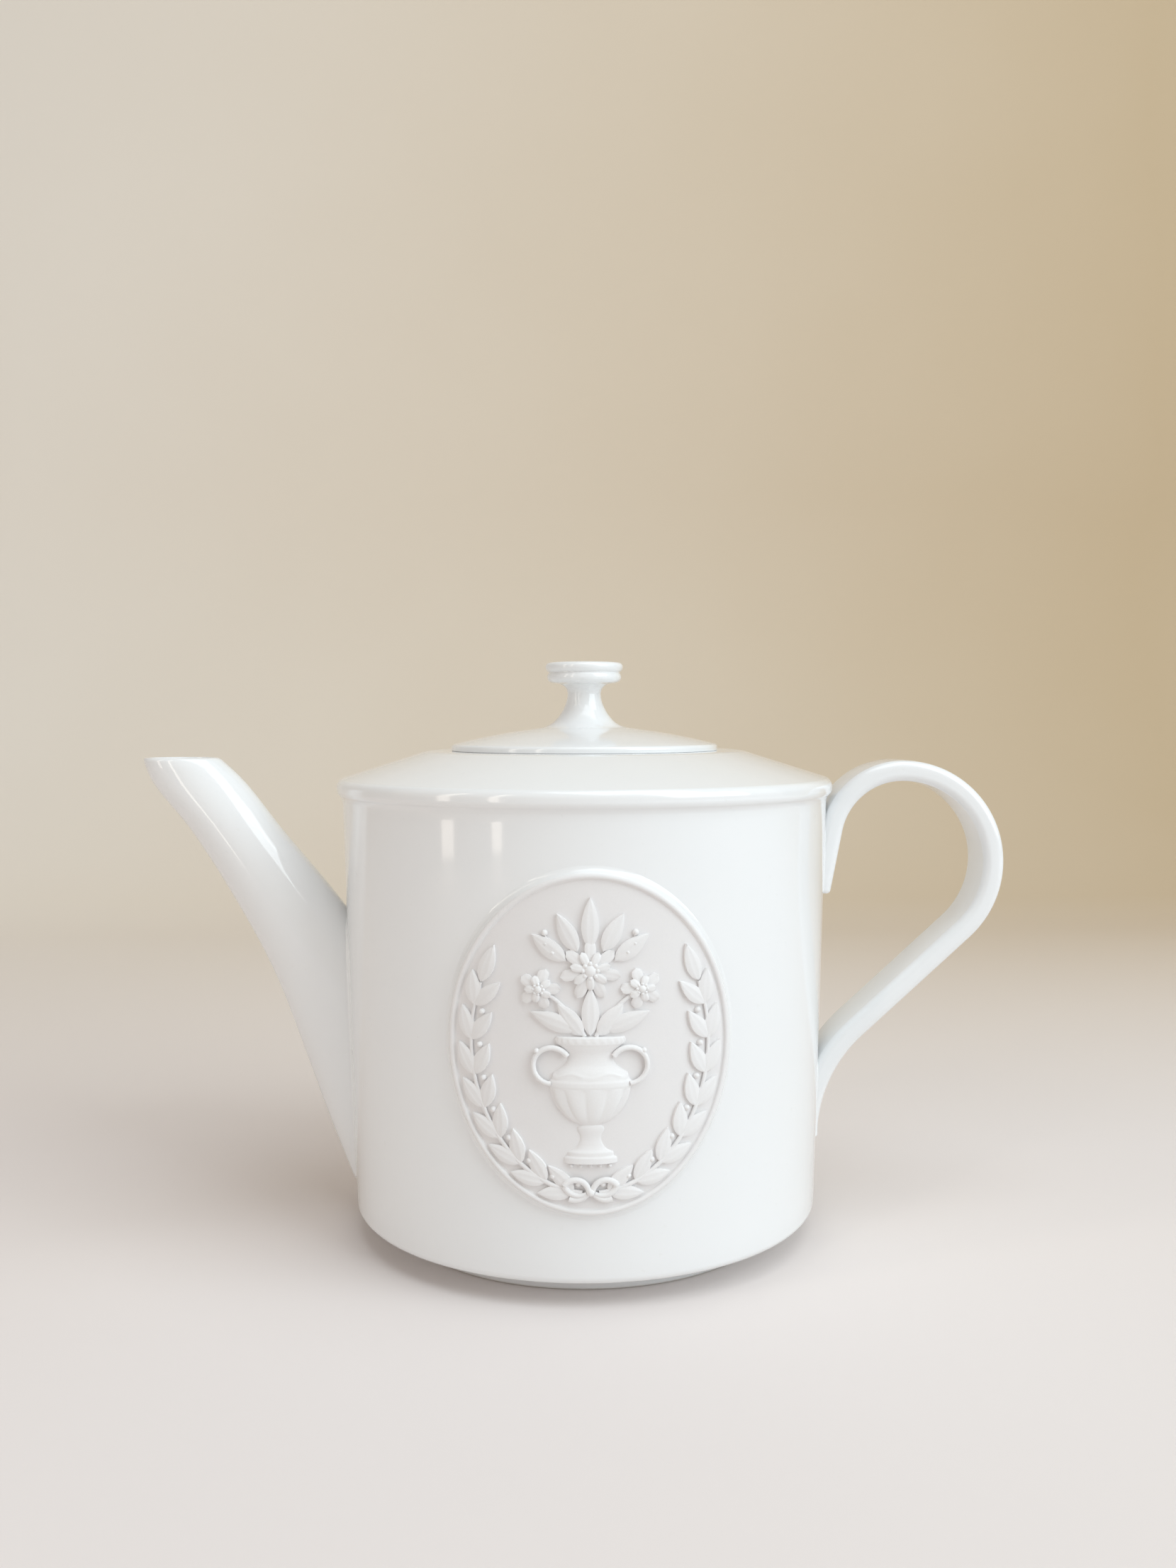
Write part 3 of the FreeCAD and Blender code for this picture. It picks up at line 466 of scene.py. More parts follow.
def side_leans(run, seat):
    """How the luted piece's own surface faces at each point of a seam, evened out along it."""
    beside = {}
    for edge in run:
        for point in edge.verts:
            beside.setdefault(point, []).append(edge.other_vert(point))
    leans = {}
    for point in beside:
        own = [face.normal for face in point.link_faces if face not in seat]
        leans[point] = sum(own, Vector()).normalized()
    for smoothing in range(SEAM_SMOOTHING):
        leans = {
            point: (leans[point] * 2.0 + sum((leans[other] for other in near), Vector())).normalized()
            for point, near in beside.items()
        }
    return leans


def slip_fillet(run, seat, size):
    """The small hollow of slip and glaze along one seam, drawn from the wall over to the piece."""
    strip = bmesh.new()
    tag = strip.verts.layers.int.new("place")
    feet = []
    copies = {}
    for point, side in side_leans(run, seat).items():
        out = Vector((point.co.x, point.co.y, -WALL_SLOPE * point.co.xy.length)).normalized()
        spread = size * min(1.0, 1.25 * out.cross(side).length)
        along_wall = (side - out * side.dot(out)).normalized() * spread - out * WALL_SINK
        along_piece = (out - side * out.dot(side)).normalized() * spread - side * PIECE_SINK
        copies[point] = strip.verts.new(point.co + along_wall)
        copies[point][tag] = len(feet)
        feet.append((point.co.copy(), along_wall, along_piece))
    for edge in run:
        strip.edges.new((copies[edge.verts[0]], copies[edge.verts[1]]))
    first = strip.edges[:]
    edges = first
    for step in range(1, SLIP_STEPS + 2):
        share = step / SLIP_STEPS
        grown = bmesh.ops.extrude_edge_only(strip, edges=edges)
        for point in new_points(grown["geom"]):
            foot, along_wall, along_piece = feet[point[tag]]
            if share <= 1.0:
                point.co = foot + along_wall * (1.0 - share) ** 2 + along_piece * share ** 2
            else:
                point.co = foot - (along_wall + along_piece) * SLIP_ROOT
        edges = [item for item in grown["geom"] if isinstance(item, bmesh.types.BMEdge)]
    bmesh.ops.bridge_loops(strip, edges=first + edges)
    bmesh.ops.recalc_face_normals(strip, faces=strip.faces)
    return strip


def luted(bm, name, size, count):
    """Fill the longest seams of a trimmed piece with slip."""
    bm.normal_update()
    runs, seat = seams_on_wall(bm)
    for index, run in enumerate(runs[:count]):
        finished(slip_fillet(run, seat, size), f"{name}_{index + 1}", GLAZE, "pot")


# Pot: foot ring, wall, rim, shoulder and lid ledge in one glazed skin

INNER_FLOOR = 9.7
LEDGE_RADIUS = 39.8
LEDGE_UNDERSIDE = 116.2
FILLING_RADIUS = 29.0
RIM_RADIUS = 62.2

# Strainer: middle, radius and pitch of its holes, and each column's place, number of holes and lowest hole
STRAINER_MIDDLE = -57.4
STRAINER_RADIUS = 2.1
STRAINER_PITCH = 10.0
STRAINER_COLUMNS = ((0.0, 5, 32.5), (5.2, 4, 37.5), (-5.2, 4, 37.5))


def pot_shell():
    corners = (
        (0.0, INNER_FLOOR, 0.0),
        (54.9, INNER_FLOOR, 6.6),
        (57.6, SEAT - 2.2, 0.0),
        (56.6, SEAT + 1.0, 2.4),
        (LEDGE_RADIUS, LEDGE_UNDERSIDE, 2.0),
        (FILLING_RADIUS, LEDGE_UNDERSIDE, 0.5),
        (FILLING_RADIUS, LEDGE, 0.75),
        (LEDGE_RADIUS, LEDGE, 1.3),
        (RIM_RADIUS, SEAT + 3.5, 1.7),
        (RIM_RADIUS, SEAT + 0.4, 1.2),
        (60.95, SEAT - 0.75, 0.8),
        (60.74, SEAT - 2.5, 0.8),
        (BASE_RADIUS, FOOT, 1.9),
        (48.5, FOOT, 0.9),
        (47.5, 0.0, 0.7),
        (43.5, 0.0, 0.7),
        (42.4, FOOT, 0.9),
        (0.0, FOOT, 0.0),
    )
    bm = outline(corners)
    tall = [edge for edge in bm.edges if abs(edge.verts[0].co.z - edge.verts[1].co.z) > 60.0]
    bmesh.ops.subdivide_edges(bm, edges=tall, cuts=20)
    shell = turned(bm)
    holes = []
    for column, rows, lowest in STRAINER_COLUMNS:
        for row in range(rows):
            place = Matrix.Translation((STRAINER_MIDDLE, column, lowest + STRAINER_PITCH * row))
            level = Matrix.Rotation(math.pi / 2, 4, "Y")
            holes.append(round_bar(STRAINER_RADIUS, 14.0, 20, place @ level))
    notch = block((-25.7, 0.0, 118.0), (13.0, 9.6, 16.0))
    return cut_away(shell, holes + [notch])


finished(pot_shell(), "pot_shell", GLAZE, "pot", ("pot_body", "shoulder"))


# Spout: level ovals drawn up into a hollow, tapering spout and trimmed to the wall

# Height, reach of the front beyond the wall, depth and width of each oval
SPOUT_STATIONS = (
    (10.0, 1.2, 23.0, 14.0),
    (28.07, 7.5, 26.0, 18.6),
    (46.13, 13.3, 28.4, 21.4),
    (64.2, 19.6, 29.4, 22.0),
    (82.27, 28.5, 26.1, 20.4),
    (100.33, 39.3, 22.7, 17.0),
    (112.0, 48.2, 23.0, 15.0),
    (118.4, 50.6, 19.0, 14.0),
)
SPOUT_FOOT = SPOUT_STATIONS[0][0]
SPOUT_MOUTH = SPOUT_STATIONS[-1][0]

# Where the outside starts to round over into the lip, and the ends and wall of the bore
LIP_START = 117.6
BORE_TOP = 110.0
BORE_FOOT = 19.0
SPOUT_WALL = 2.6

# Below its level lip the spout leans, so a wall takes this much more of an oval's depth than of its width
LEAN_INSET = 1.3
LEVEL_FROM = 117.0

# Rounding of the lower end as (rise, inset), and of the lip into the bore as (fall, inset)
FOOT_ROUNDING = ((0.0, 1.6), (0.03, 1.1), (0.2, 0.62), (0.55, 0.26), (1.1, 0.06))
LIP_ROUNDING = (
    (0.35, 0.12),
    (0.1, 0.36),
    (0.0, 0.75),
    (0.0, 1.2),
    (0.1, 1.6),
    (0.4, 1.85),
    (1.2, 2.0),
    (2.8, 2.2),
    (5.0, 2.5),
)


def spout_oval(height, thickness):
    """Matrix that lays a unit circle on the spout's oval at a height, inset by a thickness."""
    reach, depth, width = smooth_between(SPOUT_STATIONS, height)
    front = wall_radius(height) + reach
    along = Matrix.Translation((-(front - depth / 2.0), 0.0, height))
    lean = 1.0 if height > LEVEL_FROM else LEAN_INSET
    return along @ Matrix.Diagonal((depth / 2.0 - lean * thickness, width / 2.0 - thickness, 1.0, 1.0))


def spout_shell():
    steps = [(SPOUT_FOOT + rise, inset) for rise, inset in FOOT_ROUNDING]
    steps += [(SPOUT_FOOT + (LIP_START - SPOUT_FOOT) * step / 54.0, 0.0) for step in range(1, 55)]
    steps += [(SPOUT_MOUTH - fall, inset) for fall, inset in LIP_ROUNDING]
    steps += [(BORE_TOP + (BORE_FOOT - BORE_TOP) * step / 40.0, SPOUT_WALL) for step in range(41)]
    bm = bmesh.new()
    laid = spout_oval(*steps[0])
    ring = bmesh.ops.create_circle(bm, cap_ends=False, radius=1.0, segments=96)["verts"]
    bmesh.ops.transform(bm, matrix=laid, verts=ring)
    lidded(bm, ring)
    for height, thickness in steps[1:]:
        following = spout_oval(height, thickness)
        ring = grown_ring(bm, ring, following @ laid.inverted())
        laid = following
    lidded(bm, ring)
    bmesh.ops.recalc_face_normals(bm, faces=bm.faces)
    return cut_away(bm, [wall_block()])


spout = spout_shell()
luted(spout, "spout_luting", 1.2, 1)
finished(spout, "spout_shell", GLAZE, "pot", ("spout",))


# Handle: a rounded strap drawn along its line, two bends and a sweep down into the wall

STRAP_THICK = 5.2
STRAP_WIDE = 16.0
STRAP_ROUNDING = 1.95
TAIL_ROUNDING = 1.1

# Line of the strap: its tail on the wall, its slanting run, and the middles of its three bends (along, up)
TAIL_START = (59.202, 84.036)
TAIL_LENGTH = 16.4
TAIL_LEAN = math.radians(11.0)
RUN_LENGTH = 37.06
RUN_SLANT = math.radians(42.6)
TOP_BEND = (80.0, 96.7)
LOOP_BEND = (80.0, 91.5)
WALL_BEND = (93.6, 21.95)


def handle_strap():
    bm = bmesh.new()
    bmesh.ops.create_grid(bm, x_segments=1, y_segments=1, size=0.5)
    bmesh.ops.scale(bm, vec=(STRAP_THICK, STRAP_WIDE, 1.0), verts=bm.verts)
    softened(bm, bm.verts[:], STRAP_ROUNDING, 8, "VERTICES")
    along, up = TAIL_START
    start = Matrix.Translation((along, 0.0, up)) @ Matrix.Rotation(TAIL_LEAN, 4, "Y")
    bmesh.ops.transform(bm, matrix=start, verts=bm.verts)
    ring = bm.verts[:]
    tail_end = bm.edges[:]

    def run(ring, length, heading, steps):
        """Draw the strap straight on; a heading of 0 is along +X."""
        pace = length / steps
        change = Matrix.Translation((pace * math.cos(heading), 0.0, pace * math.sin(heading)))
        for part in range(steps):
            ring = grown_ring(bm, ring, change)
        return ring

    def bend(ring, middle, angle, steps):
        """Draw the strap round the middle of a bend."""
        spun = bmesh.ops.spin(
            bm,
            geom=ring + ring_edges(bm, ring),
            cent=(middle[0], 0.0, middle[1]),
            axis=(0.0, 1.0, 0.0),
            angle=angle,
            steps=steps,
        )
        return new_points(spun["geom_last"])

    ring = run(ring, TAIL_LENGTH, math.pi / 2 - TAIL_LEAN, 4)
    ring = bend(ring, TOP_BEND, math.pi / 2 - TAIL_LEAN, 26)
    ring = bend(ring, LOOP_BEND, math.pi - RUN_SLANT, 44)
    ring = run(ring, RUN_LENGTH, math.pi + RUN_SLANT, 8)
    ring = bend(ring, WALL_BEND, RUN_SLANT - math.pi / 2, 22)
    lidded(bm, ring)
    bmesh.ops.recalc_face_normals(bm, faces=bm.faces)
    softened(bm, tail_end, TAIL_ROUNDING, 5, "EDGES")
    return cut_away(bm, [wall_block()])


handle = handle_strap()
luted(handle, "handle_luting", 0.7, 2)
finished(handle, "handle_strap", GLAZE, "pot", ("handle",))


# Lid: low dome with its deep flange, and the knob drawn up from it in one skin

LID_RADIUS = 33.7
FLANGE_RADIUS = 28.5
FLANGE_INSIDE = 25.7
FLANGE_FOOT = 107.0
VENT_RADIUS = 1.3


def lid_shell():
    corners = (
        (0.0, 122.2, 0.0),
        (FLANGE_INSIDE, LEDGE, 1.4),
        (FLANGE_INSIDE, FLANGE_FOOT, 0.8),
        (FLANGE_RADIUS, FLANGE_FOOT, 0.8),
        (FLANGE_RADIUS, LEDGE, 0.35),
        (LID_RADIUS, LEDGE, 0.22),
        (LID_RADIUS, 121.5, 0.65),
        (27.2, 123.05, 3.2),
        (20.0, 124.45, 3.2),
        (14.0, 125.25, 2.6),
        (9.0, 126.0, 2.1),
        (6.2, 128.6, 1.9),
        (4.35, 132.4, 1.9),
        (4.15, 135.2, 1.2),
        (5.6, 136.7, 1.0),
        (8.1, 137.0, 0.45),
        (9.15, 137.55, 0.4),
        (9.5, 138.4, 0.45),
        (9.2, 139.35, 0.3),
        (8.9, 139.65, 0.18),
        (9.5, 140.05, 0.4),
        (9.95, 141.0, 0.5),
        (9.6, 141.95, 0.5),
        (8.4, 142.3, 0.6),
        (0.0, 142.2, 0.0),
    )
    vent = round_bar(VENT_RADIUS, 12.0, 24, Matrix.Translation((0.0, 18.0, 123.0)))
    return cut_away(turned(outline(corners)), [vent])


finished(lid_shell(), "lid_shell", GLAZE, "lid", ("lid", "lid_knob"))


def lid_lug():
    bm = block((-29.7, 0.0, 113.1), (3.4, 8.0, 4.6))
    outer = [edge for edge in bm.edges if min(point.co.x for point in edge.verts) < -31.0]
    softened(bm, outer, 0.9, 4, "EDGES")
    return bm


finished(lid_lug(), "lid_lug_tongue", GLAZE, "lid", ("lid_lug",))


# Medallion: glazed flank, biscuit bead and field

# How far the field runs in from the oval's edge, from under the bead to near the middle
FIELD_START = 0.5
FIELD_RUN = 29.7
FIELD_RINGS = 40


def wrapped(bm):
    """Lay flat work (across, -height above the field, up from the oval's centre) on the pot's wall."""
    for point in bm.verts:
        across, inward, up = point.co
        level = OVAL_HEIGHT + up
        radius = wall_radius(level) + PLAQUE
        turn = math.asin(max(-0.98, min(0.98, across / radius)))
        stand = radius - inward
        point.co = (stand * math.sin(turn), -stand * math.cos(turn), level)
    return bm


def oval_band(steps, segments=200, looped=True):
    """A solid of ovals, each (distance outside the oval's edge, height above the field)."""
    bm = bmesh.new()
    first = bmesh.ops.create_circle(
        bm, cap_ends=False, radius=1.0, segments=segments, matrix=Matrix.Rotation(math.pi / 2, 4, "X")
    )["verts"]
    ring = first
    laid = Matrix.Identity(4)
    for index, (outside, height) in enumerate(steps):
        following = Matrix.Translation((0.0, -height, 0.0)) @ Matrix.Diagonal(
            (OVAL_HALF_WIDTH + outside, 1.0, OVAL_HALF_HEIGHT + outside, 1.0)
        )
        if index == 0:
            bmesh.ops.transform(bm, matrix=following, verts=ring)
        else:
            ring = grown_ring(bm, ring, following @ laid.inverted())
        laid = following
    if looped:
        bmesh.ops.bridge_loops(bm, edges=ring_edges(bm, first) + ring_edges(bm, ring))
    else:
        lidded(bm, first)
        lidded(bm, ring)
    bmesh.ops.recalc_face_normals(bm, faces=bm.faces)
    return wrapped(bm)


def medallion_flank():
    return oval_band(
        (
            (2.1, -1.10),
            (1.75, -0.94),
            (1.35, -0.86),
            (0.95, -0.70),
            (0.62, -0.48),
            (0.36, -0.20),
            (0.14, 0.08),
            (-0.1, 0.30),
            (-0.4, 0.28),
            (-0.6, -0.3),
            (-0.6, -1.6),
        )
    )


def medallion_bead():
    return oval_band(
        (
            (0.02, -0.4),
            (0.02, 0.12),
            (-0.03, 0.36),
            (-0.16, 0.55),
            (-0.36, 0.67),
            (-0.6, 0.71),
            (-0.84, 0.67),
            (-1.04, 0.55),
            (-1.17, 0.36),
            (-1.26, 0.12),
            (-1.5, 0.0),
            (-1.7, -0.2),
        )
    )


def medallion_field():
    inwards = [FIELD_START + FIELD_RUN * ring / FIELD_RINGS for ring in range(FIELD_RINGS + 1)]
    back = [(-inset, -1.5) for inset in reversed(inwards)]
    front = [(-inset, 0.0) for inset in inwards]
    return oval_band(back + front, 160, looped=False)


finished(medallion_flank(), "medallion_flank", GLAZE, "pot")
finished(medallion_bead(), "medallion_bead", BISCUIT, "pot", ("medallion_border",))
finished(medallion_field(), "medallion_field_face", BISCUIT, "pot", ("medallion_field",))


# Sprigs of the medallion, pressed separately and laid on the field

# Half the open field inside the bead; the sprigs are shares of it, as in the part's source
BEAD_WIDTH = 1.3
FIELD_ACROSS = OVAL_HALF_WIDTH - BEAD_WIDTH
FIELD_UP = OVAL_HALF_HEIGHT - BEAD_WIDTH
LEAF_LENGTH = 0.246 * FIELD_UP
LEAF_WIDTH = 0.112 * FIELD_ACROSS
URN_HALF = 0.298 * FIELD_ACROSS
URN_TALL = 0.771 * FIELD_UP
URN_FOOT = -0.714 * FIELD_UP
URN_DEPTH = 2.35
FLOWER_UP = 0.457 * FIELD_UP
FLOWER_RADIUS = 0.2246 * FIELD_ACROSS
BUD_RADIUS = 0.1544 * FIELD_ACROSS
HEART_BEADS = 8
LAUREL_ACROSS = 0.874 * FIELD_ACROSS
LAUREL_UP = 0.897 * FIELD_UP
LAUREL_PAIRS = 8


def leaf(bm, across, up, heading, length, width, low, rise, lean=0.0, lift=0.0, vein=0.16):
    """A cupped leaf with a midrib groove, laid flat from its stalk end."""
    made = bmesh.ops.create_grid(bm, x_segments=13, y_segments=8, size=0.5)["verts"]
    for point in made:
        along = point.co.x + 0.5
        side = point.co.y * 2.0
        half = width / 2.0 * math.sin(math.pi * along ** 0.82) ** 0.85 if 0.0 < along < 1.0 else 0.0
        crown = math.sin(math.pi * min(1.0, along * 0.9 + 0.08)) ** 0.6
        groove = vein * math.exp(-(side / 0.16) ** 2) * crown
        height = low + rise * crown * (1.0 - 0.55 * abs(side) ** 1.7) - groove
        height += lean * side * crown
        height += lift * along ** 2
        point.co = (length * along, -height, half * side)
    set_down(bm, made, across, up, heading)


def petal(bm, across, up, heading, length, width, low, high, overlap=0.16):
    """A round-ended, cupped petal; one side lies over its neighbour and the other under it."""
    made = bmesh.ops.create_grid(bm, x_segments=9, y_segments=8, size=0.5)["verts"]
    for point in made:
        along = point.co.x + 0.5
        side = point.co.y * 2.0
        half = width / 2.0 * (0.22 + 0.78 * along ** 0.8) * math.sqrt(max(0.0, 1.0 - along ** 4))
        crown = math.sin(math.pi * min(1.0, 0.12 + 0.80 * along))
        height = low + (high - low) * crown * (1.0 - 0.45 * side ** 2) + overlap * side * along
        height -= 0.10 * math.exp(-(side / 0.22) ** 2) * crown
        point.co = (length * along, -height, half * side)
    set_down(bm, made, across, up, heading)


def set_down(bm, made, across, up, heading):
    """Give a flat leaf or petal its edge down to the field, then turn it and put it in its place."""
    rim = [edge for edge in ring_edges(bm, made) if edge.is_boundary]
    grown = bmesh.ops.extrude_edge_only(bm, edges=rim)
    skirt = new_points(grown["geom"])
    for point in skirt:
        point.co.y = 0.25
    whole = made + skirt
    place = Matrix.Translation((across, 0.0, up)) @ Matrix.Rotation(-heading, 4, "Y")
    bmesh.ops.transform(bm, matrix=place, verts=whole)
    bmesh.ops.remove_doubles(bm, verts=whole, dist=SPRIG_MERGE)


def knop(bm, across, up, radius, high, sink=0.0):
    """A rounded berry or flower heart."""
    made = bmesh.ops.create_uvsphere(bm, u_segments=14, v_segments=8, radius=1.0)["verts"]
    place = Matrix.Translation((across, sink, up)) @ Matrix.Diagonal((radius, high, radius, 1.0))
    bmesh.ops.transform(bm, matrix=place, verts=made)


def twig(bm, points, thick, thin, height, flat=0.7):
    """A stem drawn along points (across, up), thick at its start."""
    count = len(points)
    ring = None
    laid = None
    for index, (across, up) in enumerate(points):
        before = points[max(index - 1, 0)]
        after = points[min(index + 1, count - 1)]
        heading = math.atan2(after[1] - before[1], after[0] - before[0])
        size = thick + (thin - thick) * index / (count - 1)
        following = (
            Matrix.Translation((across, -height, up))
            @ Matrix.Rotation(-heading, 4, "Y")
            @ Matrix.Diagonal((1.0, size * flat, size, 1.0))
        )
        if ring is None:
            ring = bmesh.ops.create_circle(
                bm, cap_ends=False, radius=1.0, segments=10, matrix=Matrix.Rotation(math.pi / 2, 4, "Y")
            )["verts"]
            bmesh.ops.transform(bm, matrix=following, verts=ring)
            lidded(bm, ring)
        else:
            ring = grown_ring(bm, ring, following @ laid.inverted())
        laid = following
    lidded(bm, ring)


def three_point_arc(first, middle, last, steps):
    """Points along the arc through three points."""
    ax, ay = first
    bx, by = middle
    cx, cy = last
    scale = 2.0 * (ax * (by - cy) + bx * (cy - ay) + cx * (ay - by))
    a_square = ax * ax + ay * ay
    b_square = bx * bx + by * by
    c_square = cx * cx + cy * cy
    ox = (a_square * (by - cy) + b_square * (cy - ay) + c_square * (ay - by)) / scale
    oy = (a_square * (cx - bx) + b_square * (ax - cx) + c_square * (bx - ax)) / scale
    radius = math.hypot(ax - ox, ay - oy)
    start = math.atan2(ay - oy, ax - ox)
    via = math.atan2(by - oy, bx - ox)
    end = math.atan2(cy - oy, cx - ox)
    turn = (end - start) % (2.0 * math.pi)
    if (via - start) % (2.0 * math.pi) > turn:
        turn -= 2.0 * math.pi
    angles = [start + turn * step / steps for step in range(steps + 1)]
    return [(ox + radius * math.cos(angle), oy + radius * math.sin(angle)) for angle in angles]


def sprig(bm, name, nodes=()):
    """Close a sprig underneath, lay it on the wall and finish it."""
    bmesh.ops.holes_fill(bm, edges=[edge for edge in bm.edges if edge.is_boundary], sides=0)
    bmesh.ops.recalc_face_normals(bm, faces=bm.faces)
    finished(wrapped(bm), name, BISCUIT, "pot", nodes, crease=50.0)


def urn():
    """A footed urn with a lobed bowl, a swag, a beaded lip and two handles."""
    # Outline in shares of the urn's half width and height, with roundings in millimetres
    shares = (
        (0.0, 0.0, 0.0),
        (0.66, 0.0, 0.2),
        (0.66, 0.045, 0.3),
        (0.57, 0.058, 0.2),
        (0.57, 0.088, 0.3),
        (0.36, 0.115, 1.0),
        (0.24, 0.20, 1.6),
        (0.34, 0.262, 0.4),
        (0.34, 0.288, 0.4),
        (0.25, 0.302, 0.2),
        (0.56, 0.345, 1.8),
        (0.88, 0.47, 2.6),
        (1.0, 0.60, 1.5),
        (1.03, 0.612, 0.25),
        (1.03, 0.645, 0.3),
        (0.97, 0.66, 0.3),
        (0.88, 0.72, 1.4),
        (0.58, 0.79, 1.6),
        (0.53, 0.86, 1.6),
        (0.78, 0.932, 0.7),
        (0.85, 0.945, 0.25),
        (0.85, 1.0, 0.35),
        (0.0, 1.0, 0.0),
    )
    bm = outline([(URN_HALF * across, URN_TALL * up, rounding) for across, up, rounding in shares])
    bowl = [edge for edge in bm.edges if abs(edge.verts[0].co.z - edge.verts[1].co.z) > 0.9]
    bmesh.ops.subdivide_edges(bm, edges=bowl, cuts=2)
    bmesh.ops.spin(
        bm,
        geom=bm.verts[:] + bm.edges[:],
        cent=(0.0, 0.0, 0.0),
        axis=(0.0, 0.0, 1.0),
        angle=-math.pi,
        steps=88,
    )
    bmesh.ops.remove_doubles(bm, verts=bm.verts, dist=SPRIG_MERGE)
    for point in bm.verts:
        around = math.atan2(-point.co.y, point.co.x)
        up = point.co.z / URN_TALL
        swell = math.sin(math.pi * max(0.0, min(1.0, (up - 0.305) / 0.29))) ** 0.5
        lobes = 1.0 + 0.11 * swell * (abs(math.sin(5.5 * around)) - 0.62)
        swag = math.exp(-((up - 0.70 - 0.018 * math.cos(6.0 * around)) / 0.012) ** 2)
        beads = math.exp(-((up - 0.972) / 0.016) ** 2) * (0.5 + 0.5 * math.cos(26.0 * around))
        width = lobes + 0.050 * swag + 0.055 * beads
        depth = width * URN_DEPTH / URN_HALF
        point.co = (point.co.x * width, point.co.y * depth + 0.15, point.co.z + URN_FOOT)
    for side in (1.0, -1.0):
        loop = three_point_arc(
            (side * 0.56 * URN_HALF, URN_FOOT + 0.85 * URN_TALL),
            (side * 1.36 * URN_HALF, URN_FOOT + 0.82 * URN_TALL),
            (side * 0.96 * URN_HALF, URN_FOOT + 0.63 * URN_TALL),
            18,
        )
        twig(bm, loop, 0.62, 0.5, 0.75, 1.0)
        knop(bm, side * 1.30 * URN_HALF, URN_FOOT + 0.885 * URN_TALL, 0.62, 0.7, -0.7)
    for part in range(-2, 3):
        knop(bm, part * 0.235 * URN_HALF, URN_FOOT - 0.02 * URN_TALL, 0.42, 0.5, -0.25)
    sprig(bm, "urn_relief", ("urn",))


def rosette(bm, across, up, radius, count, turn):
    """An open flower: two rounds of petals and a beaded heart."""
    rounds = (
        (1.0, 3.7 / count, 0.42, 0.95, 0.0),
        (0.66, 2.5 / count, 0.85, 1.45, 0.5),
    )
    for reach, breadth, low, high, offset in rounds:
        for index in range(count):
            heading = turn + 2.0 * math.pi * (index + offset) / count
            petal(bm, across, up, heading, radius * reach, radius * breadth, low, high)
    knop(bm, across, up, 0.20 * radius, 0.85, -1.0)
    for index in range(HEART_BEADS):
        heading = 2.0 * math.pi * index / HEART_BEADS
        bead_across = across + 0.235 * radius * math.cos(heading)
        bead_up = up + 0.235 * radius * math.sin(heading)
        knop(bm, bead_across, bead_up, 0.078 * radius, 0.5, -1.1)


def bouquet():
    """Three flowers, a fan of leaves and two sprays of berries above the urn's lip."""
    bm = bmesh.new()
    lip = URN_FOOT + URN_TALL
    fan = (
        (0.0, FLOWER_UP + 0.7 * FLOWER_RADIUS, 90.0, 1.25),
        (0.41 * FLOWER_RADIUS, FLOWER_UP + 0.6 * FLOWER_RADIUS, 62.0, 1.05),
        (0.78 * FLOWER_RADIUS, FLOWER_UP + 0.3 * FLOWER_RADIUS, 38.0, 1.05),
        (0.23 * FLOWER_RADIUS, lip + 0.03 * FLOWER_RADIUS, 52.0, 1.0),
        (0.44 * FLOWER_RADIUS, lip + 0.2 * FLOWER_RADIUS, 22.0, 1.2),
        (0.0, lip + 0.03 * FLOWER_RADIUS, 90.0, 1.2),
    )
    for across, up, angle, share in fan:
        sides = (1.0, -1.0) if across > 0.0 else (1.0,)
        for side in sides:
            heading = math.radians(angle if side > 0.0 else 180.0 - angle)
            length = LEAF_LENGTH * share
            leaf(bm, side * across, up, heading, length, LEAF_WIDTH * 1.15, 0.32, 0.62, 0.12 * side, 0.25)
    rosette(bm, 0.0, FLOWER_UP, FLOWER_RADIUS, 7, math.pi / 2.0)
    for side in (1.0, -1.0):
        flower_across = side * (FLOWER_RADIUS + 0.95 * BUD_RADIUS)
        flower_up = FLOWER_UP - 0.9 * BUD_RADIUS
        stalk = three_point_arc((side * 1.2, lip), (side * 4.6, lip + 5.2), (flower_across, flower_up), 10)
        twig(bm, stalk, 0.5, 0.4, 0.3)
        rosette(bm, flower_across, flower_up, BUD_RADIUS, 5, math.pi / 2.0 + side * 0.3)
        spray = three_point_arc(
            (side * 5.4, FLOWER_UP + 2.4),
            (side * 8.2, FLOWER_UP + 4.6),
            (side * 9.6, FLOWER_UP + 8.0),
            9,
        )
        twig(bm, spray, 0.34, 0.22, 0.3)
        for index, size in ((3, 0.5), (6, 0.55), (9, 0.68)):
            berry_across, berry_up = spray[index]
            knop(bm, berry_across + side * (0.5 if index < 9 else 0.0), berry_up, size, 0.75, -0.35)
    sprig(bm, "bouquet_relief", ("bouquet",))


